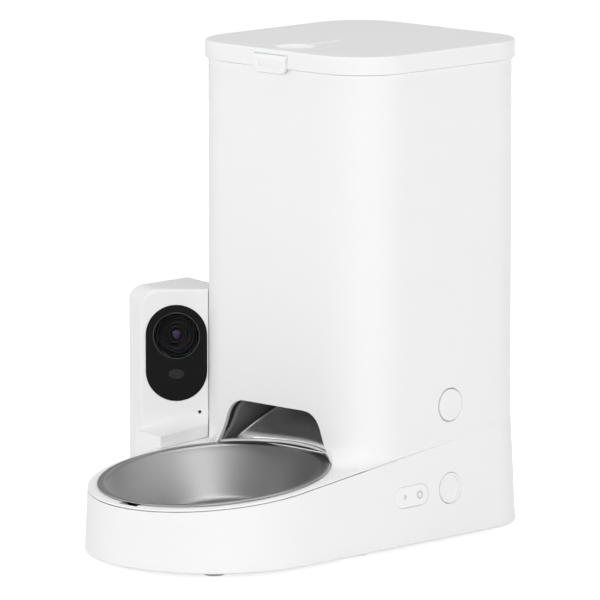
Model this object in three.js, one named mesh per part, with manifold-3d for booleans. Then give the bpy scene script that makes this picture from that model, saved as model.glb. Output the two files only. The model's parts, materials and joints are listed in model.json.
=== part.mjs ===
// Automatic pet feeder with a camera: a food tower on a drafted base, whose tray holds a steel bowl.
// Millimetres, +Z up. X runs to the button side and Y to the back. Every piece is placed from the
// underside of the base, on the middle plane of the tower. The last lines move the whole, so that
// its origin is the middle of its box, on the floor.

import * as THREE from "three";
import { mergeVertices } from "three/addons/utils/BufferGeometryUtils.js";
import Module from "manifold-3d";

const wasm = await Module();
wasm.setup();

// Play, cuts and facets
const fitGap = 0.3; // between pieces that are fixed to each other
const runGap = 0.4; // round a piece that moves
const overrun = 2; // by which a cut passes the face that it opens
const weld = 1e-4;
const tidyStep = 0.01;
const cornerSteps = 6;
const settlePasses = 4;
const frontSteps = 22;
const roundSides = 24;
const bowlSides = 44;
const smallSides = 12;

// Whole feeder
const bodyHeight = 313;
const footHeight = 4;

// Base, whose drafted wall carries the tray
const baseHalfWidth = 81.85;
const baseRear = 137.6;
const baseRearCorner = 38;
const baseDraft = 0.05;
const baseEdge = 1.5;
const baseWall = 2.6;
const trayThickness = 2.6;
const trayEdge = 0.2; // height of the tray's edge over the seam
const seamGap = 0.3;
const seamHeight = 56.4; // height of the tray top at Y 0
const seamSlope = 0.114; // rise of the tray top for each step back

// Tower
const towerInset = 3.45; // of the tower's sides from the base's widest line
const towerHalfDepth = 79;
const towerCentreY = 54.85;
const towerCorner = 34.7;
const towerWall = 2.6;
const flareRadius = 12;
const flareStep = 15; // degrees from one ring of the flare to the next

// Lid
const lidOverhang = 2.1;
const lidBand = 11.5;
const lidWall = 2.2;
const lidTop = 2.2;
const lidEdge = 1.5;
const dishRadius = 13.2;
const dishDepth = 3;
const dishShares = [[0, 1], [0.5, 0.88], [0.85, 0.5], [1, 0]]; // of its radius and depth, outwards
const dishFromFront = 20;

// Bowl
const bowlCentreY = -77.3;
const bowlMargin = 7.95; // from the base's widest line to the rim
const bowlRimWidth = 4.2;
const bowlSheet = 0.9;
const bowlRimDrop = 1;
const bowlDepth = 29;
const bowlFloorRadius = 37;
const bowlBend = 4; // width and rise of the bend from the floor to the wall
const bowlBendRise = 2.4;
const bowlPlay = 1.3; // between the bowl and the basin below it
const basinWall = 2;
const rimSeatGap = 1.1; // between the rim and the lip behind it
const lipWidth = 2.4;
const lipHeight = 2.3;
const notchWidth = 16;
const notchDepth = 3.4;
const notchReach = 2.6;

// Arch in the front of the tower
const archFootHalf = 53;
const archShoulderHalf = 42.4;
const archTopHalf = 26;
const archFootBend = 45.9; // where the sides of the arch turn up
const archTopBend = 38.5;
const archShoulderZ = 71.5;
const archTopZ = 85;

// Food path
const rotorY = 62;
const chamberRadius = 42;
const chamberWall = 2;
const chamberFloor = 2.2;
const chamberHeight = 28.5;
const outletHalf = 19;
const outletFront = 24;
const outletBack = 40.5;
const tankWall = 1.8;
const tankGap = 0.4;
const tankFunnelTop = 176;
const tankFloor = 2.2;
const tankFlange = 1.5;
const tankMouthRadius = 28;
const tankMouthBehind = 9; // the tank's outlet lies behind the rotor's axis, away from the chamber's
const chuteWall = 1.8;
const chuteBack = 42.6;
const throatFront = 20;
const throatHalf = 23;
const rampThickness = 2;
const rampTopZ = 91.5;
const rampTopHalf = 21;
const rampFootHalf = 43;
const rampFootRise = 4; // of the ramp's edges over the tray
const rampFootDish = 1.7; // how far the middle of the ramp lies below its edges, at the foot and above
const rampDish = 6;
const rampEdgePower = 4; // the higher, the sooner the ramp's edges turn up
const rampRisePower = 0.75;
const rampSteps = 8;

// Rotor and its drive
const gearPlateTop = 79;
const gearPlate = 2.2;
const gearModule = 1;
const wheelTeeth = 30;
const pinionTeeth = 12;
const toothPlay = 0.25;
const pressureAngle = 20;
const toothRootShare = 1.2; // of the module, from the pitch line down to the teeth's roots
const lowGearFace = 5;
const highGearFace = 6;
const gearStep = 0.8; // between the two levels of gears
const rotorShaft = 3;
const rotorHub = 9;
const vaneCount = 6;
const vaneThickness = 2.4;
const vaneGap = 1.4; // from the vanes to the chamber
const axleRadius = 1.5;
const caseWall = 1.8;
const caseGap = 1.2;
const caseLegRadius = 3;
const motorRadius = 12;
const motorLength = 30;
const motorShaft = 1;
const motorBoss = 3;

// Lid's inside
const linerTop = 8; // below the top of the lid
const linerThickness = 1.6;
const linerDrop = 16.7; // from the plate to the plug's lower edge, so that the seal swings clear of the tank
const plugWall = 1.6;
const plugGap = 2.1; // between the plug and the tank
const sealHeight = 3;
const sealRise = 2; // from the plug's lower edge to the seal
const desiccantRadius = 29;
const desiccantHeight = 16;
const desiccantWall = 1.5;
const desiccantSlots = 8;
const slotWidth = 3;
const slotLength = 14;
const desiccantY = 62;

// Lid's hinge
const hingeBehind = 6.05;
const hingeDrop = 4.3;
const hingePin = 1.5;
const hingeBarrel = 3.3;
const hingeTabHalf = 22;
const earWidth = 8;
const boreGap = 0.15;

// Latch on the front of the lid
const latchHalf = 14.2;
const latchThickness = 2.2;
const latchProud = 1.8;
const latchPinDepth = 3.3; // from the latch's face to its pin
const latchHang = 3.3; // below the lid's band
const latchPinBelow = 6.6; // from the lid's top down to the pin
const latchBarrel = 2.6;
const latchPinRadius = 0.8;
const latchPinOver = 3;
const latchCorner = 5;
const latchWindowHalf = 9;
const latchWindowHeight = 3;
const latchWindowDepth = 0.7;
const latchWindowBelow = 1.2; // from the pin's height down to the window

// Round button on the tower
const releaseY = 56.5;
const releaseZ = 85;
const releaseRadius = 10.6;
const releaseProud = 1.5;
const buttonGap = 0.3;
const buttonFlange = 1.5;
const buttonSkin = 1.8;
const buttonStem = 2;
const cageDepth = 13;
const cageHalf = 15;
const cageWall = 1.6;

// Round button and indicator panel on the base
const feedY = 55;
const feedZ = 31.8;
const feedRadius = 9.9;
const feedProud = 0.6;
const feedRing = 2;
const feedDish = 1;
const panelY = 19.4;
const panelZ = 31.3;
const panelLength = 30;
const panelHeight = 13.5;
const panelThickness = 3;
const ledRadius = 1.3;
const ledY = -6.2; // from the panel's middle
const ringY = 7.2;
const ringOuter = 2.6;
const ringInner = 1.6;
const lensDepth = 1.2;

// Springs behind the two buttons
const springWire = 0.5;
const releaseTravel = 2;
const feedTravel = 1.5;
const guideGap = 4; // from the board to the sleeve round the lower button
const springRadius = 3.4;
const springTurns = 4;
const springSteps = 6;
const springSides = 4;

// Main board
const boardMargin = 3.1; // between the battery holder and the board
const boardThickness = 1.6;
const boardFront = 6;
const boardBack = 76;
const boardLow = 8;
const boardHigh = 50;
const boardPost = 2.4;
const boardPostWide = 6;
const chipProud = 2.2;
const chipFront = 24;
const chipBack = 42;
const chipLow = 16;
const chipHigh = 24;
const plugProud = 4;
const plugFront = 52;
const plugBack = 68;
const plugLow = 10;
const plugHigh = 16;

// Bottom cover, batteries and feet
const coverThickness = 2.4;
const cellRadius = 17.1;
const cellLength = 61.5;
const cellNub = 4.5;
const cellNubHeight = 1.5;
const cellGap = 0.5;
const holderWall = 1.6;
const doorRim = 3;
const doorThickness = 1.6;
const batteryY = 76;
const footTop = 9;
const footBottom = 6.4;
const footPocket = 0.8;
const footFrontX = 43;
const footFrontY = -120;
const footMiddleInset = 19.85; // from the base's widest line
const footMiddleY = -12;
const footRearInset = 31.85;
const footRearY = 122;
const postRadius = 4.2;
const screwHead = 2.8;
const screwHeadHeight = 1.4;
const screwShank = 1.3;
const screwLength = 12;
const screwBore = 1.65;
const coverPostInset = 11.85; // from the base's widest line
const coverPostY = -30;
const coverRearInset = 9.85; // from the start of the base's rear corner
const coverRearY = 126;
const coverPostHeight = 18;
const lugSideInset = 10.85;
const lugSideY = -8;
const lugRearInset = 13.85;
const lugRearY = 126;
const lugHalf = 5;
const lugThickness = 3;
const lugDrop = 14; // from the tray's top down to a lug

// Power inlet
const inletX = -20;
const inletZ = 22;
const inletWidth = 13;
const inletHeight = 11;
const inletDepth = 14;
const inletBore = 3.2;
const inletPin = 1;
const inletBoreDepth = 9;

// Camera module, on a panel turned to the bowl
const cameraInset = 12.05; // from the base's widest line to the panel's edge by the tower
const cameraY = -12.5;
const cameraTurn = 45;
const cameraTop = 150.5;
const cameraPanelWidth = 44.3;
const cameraCorner = 13; // of the panel, which shrinks towards the back
const cameraDeepCorner = 10;
const cameraSpread = 7.6; // by which the housing grows behind the panel
const cameraSpreadDepth = 24;
const cameraOut = 40.65; // by which the housing passes the base's widest line
const cameraBack = 15.2;
const cameraBackInner = 4.5; // where the housing's back meets the tower
const cameraBackCorner = 3;
const cameraTopEdge = 8; // radius of the housing's upper edge, along its left side
const cameraWall = 2.2;
const cameraLow = 2;
const towerGap = 0.5;
const ledgeHeight = 8; // of the foot's top over the tray
const ledgeFillet = 7;
const footCornerInset = 6.45; // from the base's widest line
const footCornerY = -50.6;
const footInnerInset = 13.85;
const footInnerY = -14.3;
const footSideShare = 0.45; // of the way from the foot's front to the panel, where its left side begins
const windowInside = 1.2; // from the window to the panel's edge by the tower
const windowOutside = 3.7; // and to its outer edge
const windowHeight = 62.6;
const windowMiddleZ = 109;
const windowThickness = 2;
const windowLedge = 2;
const lensZ = 120.3;
const lensRing = 15.1;
const lensRingWidth = 0.8;
const lensRingProud = 0.4;
const lensRingDepth = 1.6;
const domeBulge = 2.4;
const barrelRadius = 13.4;
const barrelLength = 14;
const barrelBore = 5.1;
const barrelEye = 3;
const coneDepth = 6;
const infraredZ = 95.4;
const infraredHalfWidth = 5.1;
const infraredHalfHeight = 3.3;
const infraredDepth = 0.8;
const microphoneU = 6;
const microphoneZ = 70.5;
const microphoneHole = 1.1;
const microphoneRadius = 2.4;
const microphoneDepth = 3;
const cameraBoardThickness = 1.4;
const cameraBoardHalf = 15.5;
const cameraBoardLow = 78;
const cameraBoardHigh = 137;
const speakerRadius = 8.5;
const speakerInset = 13.3; // from the panel's outer edge
const speakerDepth = 5;
const speakerZ = 52;
const cameraScrewZ = 22;
const cameraScrewY = 0;
const cameraScrewSpan = 16;

// Worked out from the sizes above
const degree = Math.PI / 180;
const quarter = 90 * degree;
const seamAngle = Math.atan(seamSlope);
const seamAt = (y) => seamHeight + seamSlope * y;
const lidLow = bodyHeight - lidBand;
const latchPinZ = bodyHeight - latchPinBelow;
const towerTop = lidLow - fitGap;
const towerFront = towerCentreY - towerHalfDepth;
const towerBack = towerCentreY + towerHalfDepth;
const hingeY = towerBack + hingeBehind;
const hingeZ = lidLow - hingeDrop;
const chamberLow = gearPlateTop + lowGearFace + highGearFace + 3 * gearStep + runGap;
const chamberTop = chamberLow + chamberHeight;
const wheelPitch = (gearModule * wheelTeeth) / 2;
const pinionPitch = (gearModule * pinionTeeth) / 2;
const gearSpan = wheelPitch + pinionPitch;
const middleGearY = rotorY + gearSpan;
const motorY = middleGearY + gearSpan;
const lowGearZ = gearPlateTop + gearStep;
const highGearZ = lowGearZ + lowGearFace + gearStep;
const sideWallX = (z) => baseHalfWidth - baseDraft * z;
const towerHalfWidth = baseHalfWidth - towerInset;
const bowlRim = baseHalfWidth - bowlMargin;
const bayHalfX = (3 * 2 * cellRadius + 4 * cellGap) / 2;
const bayHalfY = (cellLength + cellNubHeight) / 2 + 2 * cellGap;
const boardX = bayHalfX + holderWall + boardMargin;
const windowWidth = cameraPanelWidth - windowInside - windowOutside;
const windowMiddleU = windowInside + windowWidth / 2;
const coverPostX = baseHalfWidth - coverPostInset;
const coverRearX = baseHalfWidth - baseRearCorner - coverRearInset;
const lugSideX = baseHalfWidth - lugSideInset;
const lugRearX = baseHalfWidth - baseRearCorner - lugRearInset;
const footMiddleX = baseHalfWidth - footMiddleInset;
const footRearX = baseHalfWidth - footRearInset;
const cameraX = cameraInset - baseHalfWidth;
const cameraLeft = -baseHalfWidth - cameraOut;
const footCornerX = footCornerInset - baseHalfWidth;
const footInnerX = footInnerInset - baseHalfWidth;
const speakerU = cameraPanelWidth - speakerInset;

// Turning geometry into solids and back

function solidOf(geometry) {
  const loose = geometry.index ? geometry.toNonIndexed() : geometry;
  const bare = new THREE.BufferGeometry().setAttribute("position", loose.getAttribute("position"));
  const merged = mergeVertices(bare, weld);
  const corners = merged.index.array;
  const kept = [];
  for (let i = 0; i < corners.length; i += 3) {
    const [a, b, c] = [corners[i], corners[i + 1], corners[i + 2]];
    if (a !== b && b !== c && c !== a) kept.push(a, b, c);
  }
  const vertProperties = Float32Array.from(merged.attributes.position.array);
  const build = (triVerts) => new wasm.Manifold(new wasm.Mesh({ numProp: 3, vertProperties, triVerts }));
  const made = build(Uint32Array.from(kept));
  return made.volume() > 0 ? made : build(Uint32Array.from(kept).reverse());
}

function geometryOf(solid) {
  const mesh = solid.getMesh();
  const geometry = new THREE.BufferGeometry();
  geometry.setAttribute("position", new THREE.BufferAttribute(Float32Array.from(mesh.vertProperties), 3));
  geometry.setIndex(Array.from(mesh.triVerts));
  return geometry;
}

const join = (...solids) => solids.reduce((whole, next) => whole.add(next));
const cut = (solid, ...tools) => tools.reduce((rest, tool) => rest.subtract(tool), solid);

// Simple solids

function block(x0, x1, y0, y1, z0, z1) {
  const box = new THREE.BoxGeometry(x1 - x0, y1 - y0, z1 - z0);
  return solidOf(box.translate((x0 + x1) / 2, (y0 + y1) / 2, (z0 + z1) / 2));
}

function rod(radius, length, sides = smallSides, tipRadius = radius) {
  return new THREE.CylinderGeometry(tipRadius, radius, length, sides).translate(0, length / 2, 0);
}

function postZ(radius, x, y, low, high, sides = smallSides) {
  return solidOf(rod(radius, high - low, sides).rotateX(quarter).translate(x, y, low));
}

function postX(radius, low, high, y, z, sides = smallSides) {
  return solidOf(rod(radius, high - low, sides).rotateZ(-quarter).translate(low, y, z));
}

function postY(radius, x, low, high, z, sides = smallSides) {
  return solidOf(rod(radius, high - low, sides).translate(x, low, z));
}

function turned(profile, sides) {
  const points = profile.map(([radius, height]) => new THREE.Vector2(radius, height));
  return new THREE.LatheGeometry(points, sides).rotateX(quarter);
}

const flatShape = (points) => new THREE.Shape(points.map(([a, b]) => new THREE.Vector2(a, b)));

function prismZ(shape, low, high, steps = cornerSteps) {
  const options = { depth: high - low, bevelEnabled: false, curveSegments: steps };
  return solidOf(new THREE.ExtrudeGeometry(shape, options).translate(0, 0, low));
}

// A shape drawn in X and Z, run along Y.
function prismY(shape, low, high, steps = cornerSteps) {
  const options = { depth: high - low, bevelEnabled: false, curveSegments: steps };
  return solidOf(new THREE.ExtrudeGeometry(shape, options).rotateX(quarter).translate(0, high, 0));
}

// Skins through rings of points

// The points round a chain of arcs joined by straight lines, each with its outward direction.
function arcChain(arcs) {
  return arcs.flatMap(({ x, y, radius, from, to, steps }) =>
    Array.from({ length: steps + 1 }, (_, i) => {
      const angle = (from + ((to - from) * i) / steps) * degree;
      const [outX, outY] = [Math.cos(angle), Math.sin(angle)];
      return { x: x + radius * outX, y: y + radius * outY, outX, outY };
    }),
  );
}

function roundedChain(halfX, halfY, corner, centreY, steps = cornerSteps) {
  const [farX, farY] = [halfX - corner, halfY - corner];
  return arcChain([
    { x: farX, y: centreY - farY, radius: corner, from: -90, to: 0, steps },
    { x: farX, y: centreY + farY, radius: corner, from: 0, to: 90, steps },
    { x: -farX, y: centreY + farY, radius: corner, from: 90, to: 180, steps },
    { x: -farX, y: centreY - farY, radius: corner, from: 180, to: 270, steps },
  ]);
}

const footprintChain = arcChain([
  { x: 0, y: bowlCentreY, radius: baseHalfWidth, from: 180, to: 360, steps: frontSteps },
  {
    x: baseHalfWidth - baseRearCorner,
    y: baseRear - baseRearCorner,
    radius: baseRearCorner,
    from: 0,
    to: 90,
    steps: cornerSteps,
  },
  {
    x: baseRearCorner - baseHalfWidth,
    y: baseRear - baseRearCorner,
    radius: baseRearCorner,
    from: 90,
    to: 180,
    steps: cornerSteps,
  },
]);

const towerChain = roundedChain(towerHalfWidth, towerHalfDepth, towerCorner, towerCentreY);

// A ring along a chain, grown outwards. Its height follows a plane, so the height and the draft are
// settled together in a few passes.
function ring(chain, grow, heightAt, draft = 0) {
  return chain.map((p) => {
    const point = new THREE.Vector3(p.x, p.y, heightAt(p.y));
    for (let pass = 0; pass < settlePasses; pass++) {
      const out = grow - draft * point.z;
      point.set(p.x + out * p.outX, p.y + out * p.outY, heightAt(p.y + out * p.outY));
    }
    return point;
  });
}

const baseRing = (grow, height) => ring(footprintChain, grow, () => height, baseDraft);
const traySeamRing = (grow, lift) => ring(footprintChain, grow, (y) => seamAt(y) + lift, baseDraft);
const towerRing = (grow, height) => ring(towerChain, grow, () => height);
const towerSeamRing = (grow, lift) => ring(towerChain, grow, (y) => seamAt(y) + lift);

function capOf(points) {
  const normal = new THREE.Vector3();
  points.forEach((p, i) => normal.add(new THREE.Vector3().crossVectors(p, points[(i + 1) % points.length])));
  const sizes = normal.toArray().map(Math.abs);
  const axis = sizes.indexOf(Math.max(...sizes));
  const flat = points.map((p) => new THREE.Vector2(...p.toArray().filter((_, i) => i !== axis)));
  return THREE.ShapeUtils.triangulateShape(flat, []);
}

function skin(rings) {
  const count = rings[0].length;
  const faces = [];
  for (let level = 0; level + 1 < rings.length; level++) {
    for (let i = 0; i < count; i++) {
      const [a, b] = [level * count + i, level * count + ((i + 1) % count)];
      faces.push(a, b, b + count, a, b + count, a + count);
    }
  }
  const last = (rings.length - 1) * count;
  const turns = new THREE.Vector3();
  rings[0].forEach((p, i) => turns.add(new THREE.Vector3().crossVectors(p, rings[0][(i + 1) % count])));
  const endFaces = (points, start, flip) => {
    for (const [a, b, c] of capOf(points)) {
      const side = new THREE.Vector3().crossVectors(
        points[b].clone().sub(points[a]),
        points[c].clone().sub(points[a]),
      );
      const same = side.dot(turns) > 0;
      faces.push(start + a, ...(same === flip ? [start + c, start + b] : [start + b, start + c]));
    }
  };
  endFaces(rings[0], 0, true);
  endFaces(rings[rings.length - 1], last, false);
  const geometry = new THREE.BufferGeometry();
  const numbers = rings.flat().flatMap((p) => p.toArray());
  geometry.setAttribute("position", new THREE.Float32BufferAttribute(numbers, 3));
  geometry.setIndex(faces);
  return geometry;
}

const loft = (...rings) => solidOf(skin(rings));

// Shapes that several pieces share

// Places geometry drawn round the bowl's axis, with its zero on the tray top.
function onTray(geometry) {
  return solidOf(geometry.rotateX(seamAngle).translate(0, bowlCentreY, seamAt(bowlCentreY)));
}

const trayDisc = (radius, low, high, sides = bowlSides) =>
  onTray(rod(radius, high - low, sides).rotateX(quarter).translate(0, 0, low));

// All that lies in or under the tray top, with play round it: what stands on the tray is cut by this.
const underTray = loft(baseRing(fitGap, -overrun), traySeamRing(fitGap, fitGap));

function archShape(grow) {
  const foot = seamAt(towerFront) - overrun;
  const shape = new THREE.Shape();
  shape.moveTo(-archFootHalf - grow, foot);
  shape.lineTo(archFootHalf + grow, foot);
  const middle = (foot + archShoulderZ) / 2;
  shape.quadraticCurveTo(archFootBend + grow, middle, archShoulderHalf + grow, archShoulderZ);
  shape.quadraticCurveTo(archTopBend + grow, archTopZ + grow, archTopHalf, archTopZ + grow);
  shape.lineTo(-archTopHalf, archTopZ + grow);
  shape.quadraticCurveTo(-archTopBend - grow, archTopZ + grow, -archShoulderHalf - grow, archShoulderZ);
  shape.quadraticCurveTo(-archFootBend - grow, middle, -archFootHalf - grow, foot);
  return shape;
}

// The flare at the tower's foot is as wide as the room between the tower's rounded corner and the
// line of its side, so it runs out where the side begins.
const flareChain = towerChain.filter((p) => p.outY < weld);
const flareAt = (p) => {
  const room = towerHalfWidth - Math.abs(p.x);
  return Math.abs(p.outX) < weld ? flareRadius : Math.min(flareRadius, room / Math.abs(p.outX));
};

function flareBody(grow) {
  const flareRing = (outShare, upShare, low) =>
    flareChain.map((p) => {
      const wide = flareAt(p) * outShare + grow;
      const y = p.y + wide * p.outY;
      return new THREE.Vector3(p.x + wide * p.outX, y, seamAt(y) + flareAt(p) * upShare + low);
    });
  const rings = [flareRing(1, 0, -overrun)];
  for (let angle = 0; angle <= 90; angle += flareStep) {
    rings.push(flareRing(1 - Math.sin(angle * degree), 1 - Math.cos(angle * degree), grow));
  }
  return cut(loft(...rings), cameraSide(grow));
}

// All that lies on the camera's side of its panel's inner edge, where the flare makes room for it.
function cameraSide(from) {
  const far = cameraPanelWidth * 2;
  const shape = flatShape([[from, -overrun], [far, -overrun], [far, cameraTop], [from, cameraTop]]);
  return panelPrism(shape, -far, far);
}

const towerBody = (grow) =>
  join(flareBody(grow), loft(towerSeamRing(grow, -overrun), towerRing(grow, towerTop)));

// Housings

const coverPosts = [
  [coverPostX, coverPostY],
  [-coverPostX, coverPostY],
  [coverRearX, coverRearY],
  [-coverRearX, coverRearY],
];
const lugPlaces = [
  [lugSideX, lugSideY],
  [-lugSideX, lugSideY],
  [lugRearX, lugRearY],
  [-lugRearX, lugRearY],
];
const cameraScrewYs = [cameraScrewY, cameraScrewY - cameraScrewSpan];
const lugTop = (y) => seamAt(y) - lugDrop;

// The base is a tub without a floor. Its wall ends in a mitre, on which the tray's edge rests.
function baseShell() {
  const edgeRings = [0, 30, 60, 90].map((angle) => {
    const grow = -baseEdge * (1 - Math.sin(angle * degree));
    return baseRing(grow, baseEdge * (1 - Math.cos(angle * degree)));
  });
  const outer = loft(
    ...edgeRings,
    traySeamRing(0, -trayEdge - seamGap),
    traySeamRing(-baseWall, -trayThickness - seamGap),
  );
  const hollow = loft(baseRing(-baseWall, -overrun), traySeamRing(-baseWall, overrun));
  const toWall = (x, y) => {
    const rear = Math.abs(x) < baseHalfWidth - baseRearCorner;
    const out = Math.sign(x) * baseHalfWidth;
    return rear
      ? { x0: x - lugHalf, x1: x + lugHalf, y0: y - lugHalf, y1: baseRear }
      : { x0: Math.min(x - lugHalf, out), x1: Math.max(x + lugHalf, out), y0: y - lugHalf, y1: y + lugHalf };
  };
  const posts = coverPosts.map(([x, y]) => {
    const reach = toWall(x, y);
    const rear = reach.y1 === baseRear;
    const [low, high] = [coverThickness + fitGap, coverThickness + coverPostHeight];
    const web = rear
      ? block(x - cageWall / 2, x + cageWall / 2, y, reach.y1, low, high)
      : block(reach.x0, reach.x1, y - cageWall / 2, y + cageWall / 2, low, high);
    return join(postZ(postRadius, x, y, low, high), web);
  });
  const lugs = lugPlaces.map(([x, y]) => {
    const { x0, x1, y0, y1 } = toWall(x, y);
    return block(x0, x1, y0, y1, lugTop(y) - lugThickness, lugTop(y));
  });
  const inside = join(...posts, ...lugs, boardPosts(), feedGuide()).intersect(outer);
  const inletWindow = block(
    inletX - inletWidth / 2 - fitGap,
    inletX + inletWidth / 2 + fitGap,
    baseRear - inletDepth,
    baseRear + overrun,
    inletZ - inletHeight / 2 - fitGap,
    inletZ + inletHeight / 2 + fitGap,
  );
  return cut(
    join(cut(outer, hollow), inside),
    inletWindow,
    postX(
      feedRadius + buttonGap,
      towerHalfWidth - baseWall * 2,
      baseHalfWidth + overrun,
      feedY,
      feedZ,
      roundSides,
    ),
    panelSolid(buttonGap, panelThickness + fitGap + overrun),
    ...coverPosts.map(([x, y]) => postZ(screwBore, x, y, 0, screwLength + 2 * overrun)),
    ...lugPlaces.map(([x, y]) => postZ(screwBore, x, y, lugTop(y) - 2 * lugThickness, lugTop(y) + overrun)),
    ...cameraScrewYs.map((y) =>
      postX(screwBore, -baseHalfWidth - overrun, -baseHalfWidth + 3 * baseWall, y, cameraScrewZ),
    ),
  );
}

// Two slotted webs on the wall hold the main board upright.
function boardPosts() {
  const posts = [boardFront, boardBack].map((y) =>
    block(
      boardX - boardPost,
      baseHalfWidth,
      y - boardPostWide / 2,
      y + boardPostWide / 2,
      coverThickness + fitGap + overrun,
      boardHigh,
    ),
  );
  const slot = block(
    boardX - fitGap,
    boardX + boardThickness + fitGap,
    boardFront - fitGap,
    boardBack + fitGap,
    boardLow - fitGap,
    bodyHeight,
  );
  return cut(join(...posts), slot);
}

// The short sleeve inside the wall that guides the lower button.
function feedGuide() {
  const outer = feedRadius + buttonGap + cageWall;
  const low = boardX + boardThickness + guideGap;
  return cut(
    postX(outer, low, sideWallX(feedZ) - baseWall / 2, feedY, feedZ, roundSides),
    postX(feedRadius + buttonGap, low - overrun, baseHalfWidth, feedY, feedZ, roundSides),
  );
}

// A cup in the tray that holds the bowl, given by its wall and the height of its top over the tray.
function basin(grow, top) {
  const wall = bowlRim - bowlRimWidth + bowlPlay + grow;
  const floor = -bowlDepth - bowlPlay - grow;
  const profile = [
    [0, floor],
    [bowlFloorRadius + bowlPlay + grow, floor],
    [wall, -bowlRimDrop],
    [wall, top],
    [0, top],
  ];
  return onTray(turned(profile, bowlSides));
}

// The tower and the tray that it stands on, in one moulding.
function upperShell() {
  const below = (lift) => loft(baseRing(flareRadius, -overrun), traySeamRing(flareRadius, lift));
  const belowTray = below(0);
  const tray = loft(
    traySeamRing(-trayThickness - trayEdge, -trayThickness),
    traySeamRing(0, -trayEdge),
    traySeamRing(0, 0),
  );
  const inside = loft(towerSeamRing(-towerWall, 0), towerRing(-towerWall, towerTop + overrun));
  const arch = prismY(archShape(0), towerFront - 2 * flareRadius, towerFront + towerWall + overrun);
  const rimRoom = trayDisc(bowlRim + rimSeatGap, -overrun, archTopZ / 2).intersect(
    block(-baseHalfWidth, baseHalfWidth, towerFront - 2 * flareRadius, towerFront, 0, archTopZ),
  );
  const ear = (x) =>
    join(
      postX(hingeBarrel, x, x + earWidth, hingeY, hingeZ),
      block(x, x + earWidth, towerBack - towerWall / 2, hingeY, hingeZ - hingeBarrel, hingeZ + hingeBarrel),
    );
  const ears = [hingeTabHalf + runGap, -hingeTabHalf - runGap - earWidth].map(ear);
  const tower = cut(
    join(cut(towerBody(0), inside), ...ears, releaseCage()),
    cut(join(arch, rimRoom), belowTray),
    below(-trayEdge / 2),
  );
  const lip = cut(
    trayDisc(bowlRim + rimSeatGap + lipWidth, -trayThickness / 2, lipHeight),
    trayDisc(bowlRim + rimSeatGap, -bowlDepth, bowlDepth),
  ).intersect(prismY(archShape(-fitGap), towerFront - flareRadius, towerCentreY));
  const bosses = lugPlaces.map(([x, y]) =>
    postZ(postRadius, x, y, lugTop(y) + fitGap, seamAt(y) - trayThickness / 2),
  );
  const notch = block(
    -notchWidth / 2,
    notchWidth / 2,
    bowlCentreY - bowlRim - notchReach,
    bowlCentreY - bowlRim + bowlRimWidth + notchDepth,
    seamAt(bowlCentreY - bowlRim) - notchDepth,
    seamAt(bowlCentreY),
  );
  const motorRoom = block(
    -motorRadius - overrun,
    motorRadius + overrun,
    motorY - motorRadius - overrun,
    motorY + motorRadius + overrun,
    seamAt(motorY) - motorRadius,
    seamAt(motorY) + motorRadius,
  );
  return cut(
    join(tower, tray, basin(basinWall, -bowlRimDrop / 2), lip, ...bosses),
    basin(0, overrun),
    notch,
    motorRoom,
    postX(
      releaseRadius + buttonGap,
      towerHalfWidth - towerWall - overrun,
      towerHalfWidth + overrun,
      releaseY,
      releaseZ,
      roundSides,
    ),
    postX(hingePin + boreGap, -hingeTabHalf - 2 * earWidth, hingeTabHalf + 2 * earWidth, hingeY, hingeZ),
    ...lugPlaces.map(([x, y]) => postZ(screwBore, x, y, lugTop(y) - overrun, seamAt(y) - trayThickness)),
  );
}

// The cage behind the round button on the tower: it guides the button and seats its spring.
function releaseCage() {
  const outerX = towerHalfWidth - towerWall / 2;
  const innerX = towerHalfWidth - towerWall - cageDepth;
  const body = block(
    innerX,
    outerX,
    releaseY - cageHalf,
    releaseY + cageHalf,
    releaseZ - cageHalf,
    releaseZ + cageHalf,
  );
  const hollow = block(
    innerX + cageWall,
    towerHalfWidth - towerWall,
    releaseY - cageHalf + cageWall,
    releaseY + cageHalf - cageWall,
    releaseZ - cageHalf - overrun,
    releaseZ + cageHalf - cageWall,
  );
  return cut(body, hollow);
}

// Buttons: a skinned cap with a flange behind the wall and a stem that carries the spring.
function buttonSolid(radius, faceX, wallX, y, z, ringWidth, dish) {
  const depth = faceX - (wallX - runGap);
  const cap = join(
    postX(radius, wallX - runGap - buttonFlange, faceX, y, z, roundSides),
    postX(radius + buttonFlange, wallX - runGap - buttonFlange, wallX - runGap, y, z, roundSides),
  );
  const hollow = cut(
    postX(radius - buttonSkin, 0, faceX - buttonSkin - dish, y, z, roundSides),
    postX(buttonStem, 0, faceX, y, z),
  );
  const face = dish
    ? solidOf(
        rod(radius - ringWidth - dish, dish + overrun, roundSides, radius - ringWidth + overrun)
          .rotateZ(-quarter)
          .translate(faceX - dish, y, z),
      )
    : postX(radius / 2, faceX + depth, faceX + 2 * depth, y, z);
  return cut(cap, hollow, face);
}

const releaseFace = towerHalfWidth + releaseProud;
const releaseWall = towerHalfWidth - towerWall;
const feedFace = sideWallX(feedZ) + feedProud;
const feedWall = boardX + boardThickness + guideGap;

const releaseButton = () =>
  buttonSolid(releaseRadius, releaseFace, releaseWall, releaseY, releaseZ, releaseRadius / 4, 0);
const feedButton = () => buttonSolid(feedRadius, feedFace, feedWall, feedY, feedZ, feedRing, feedDish);

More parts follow.
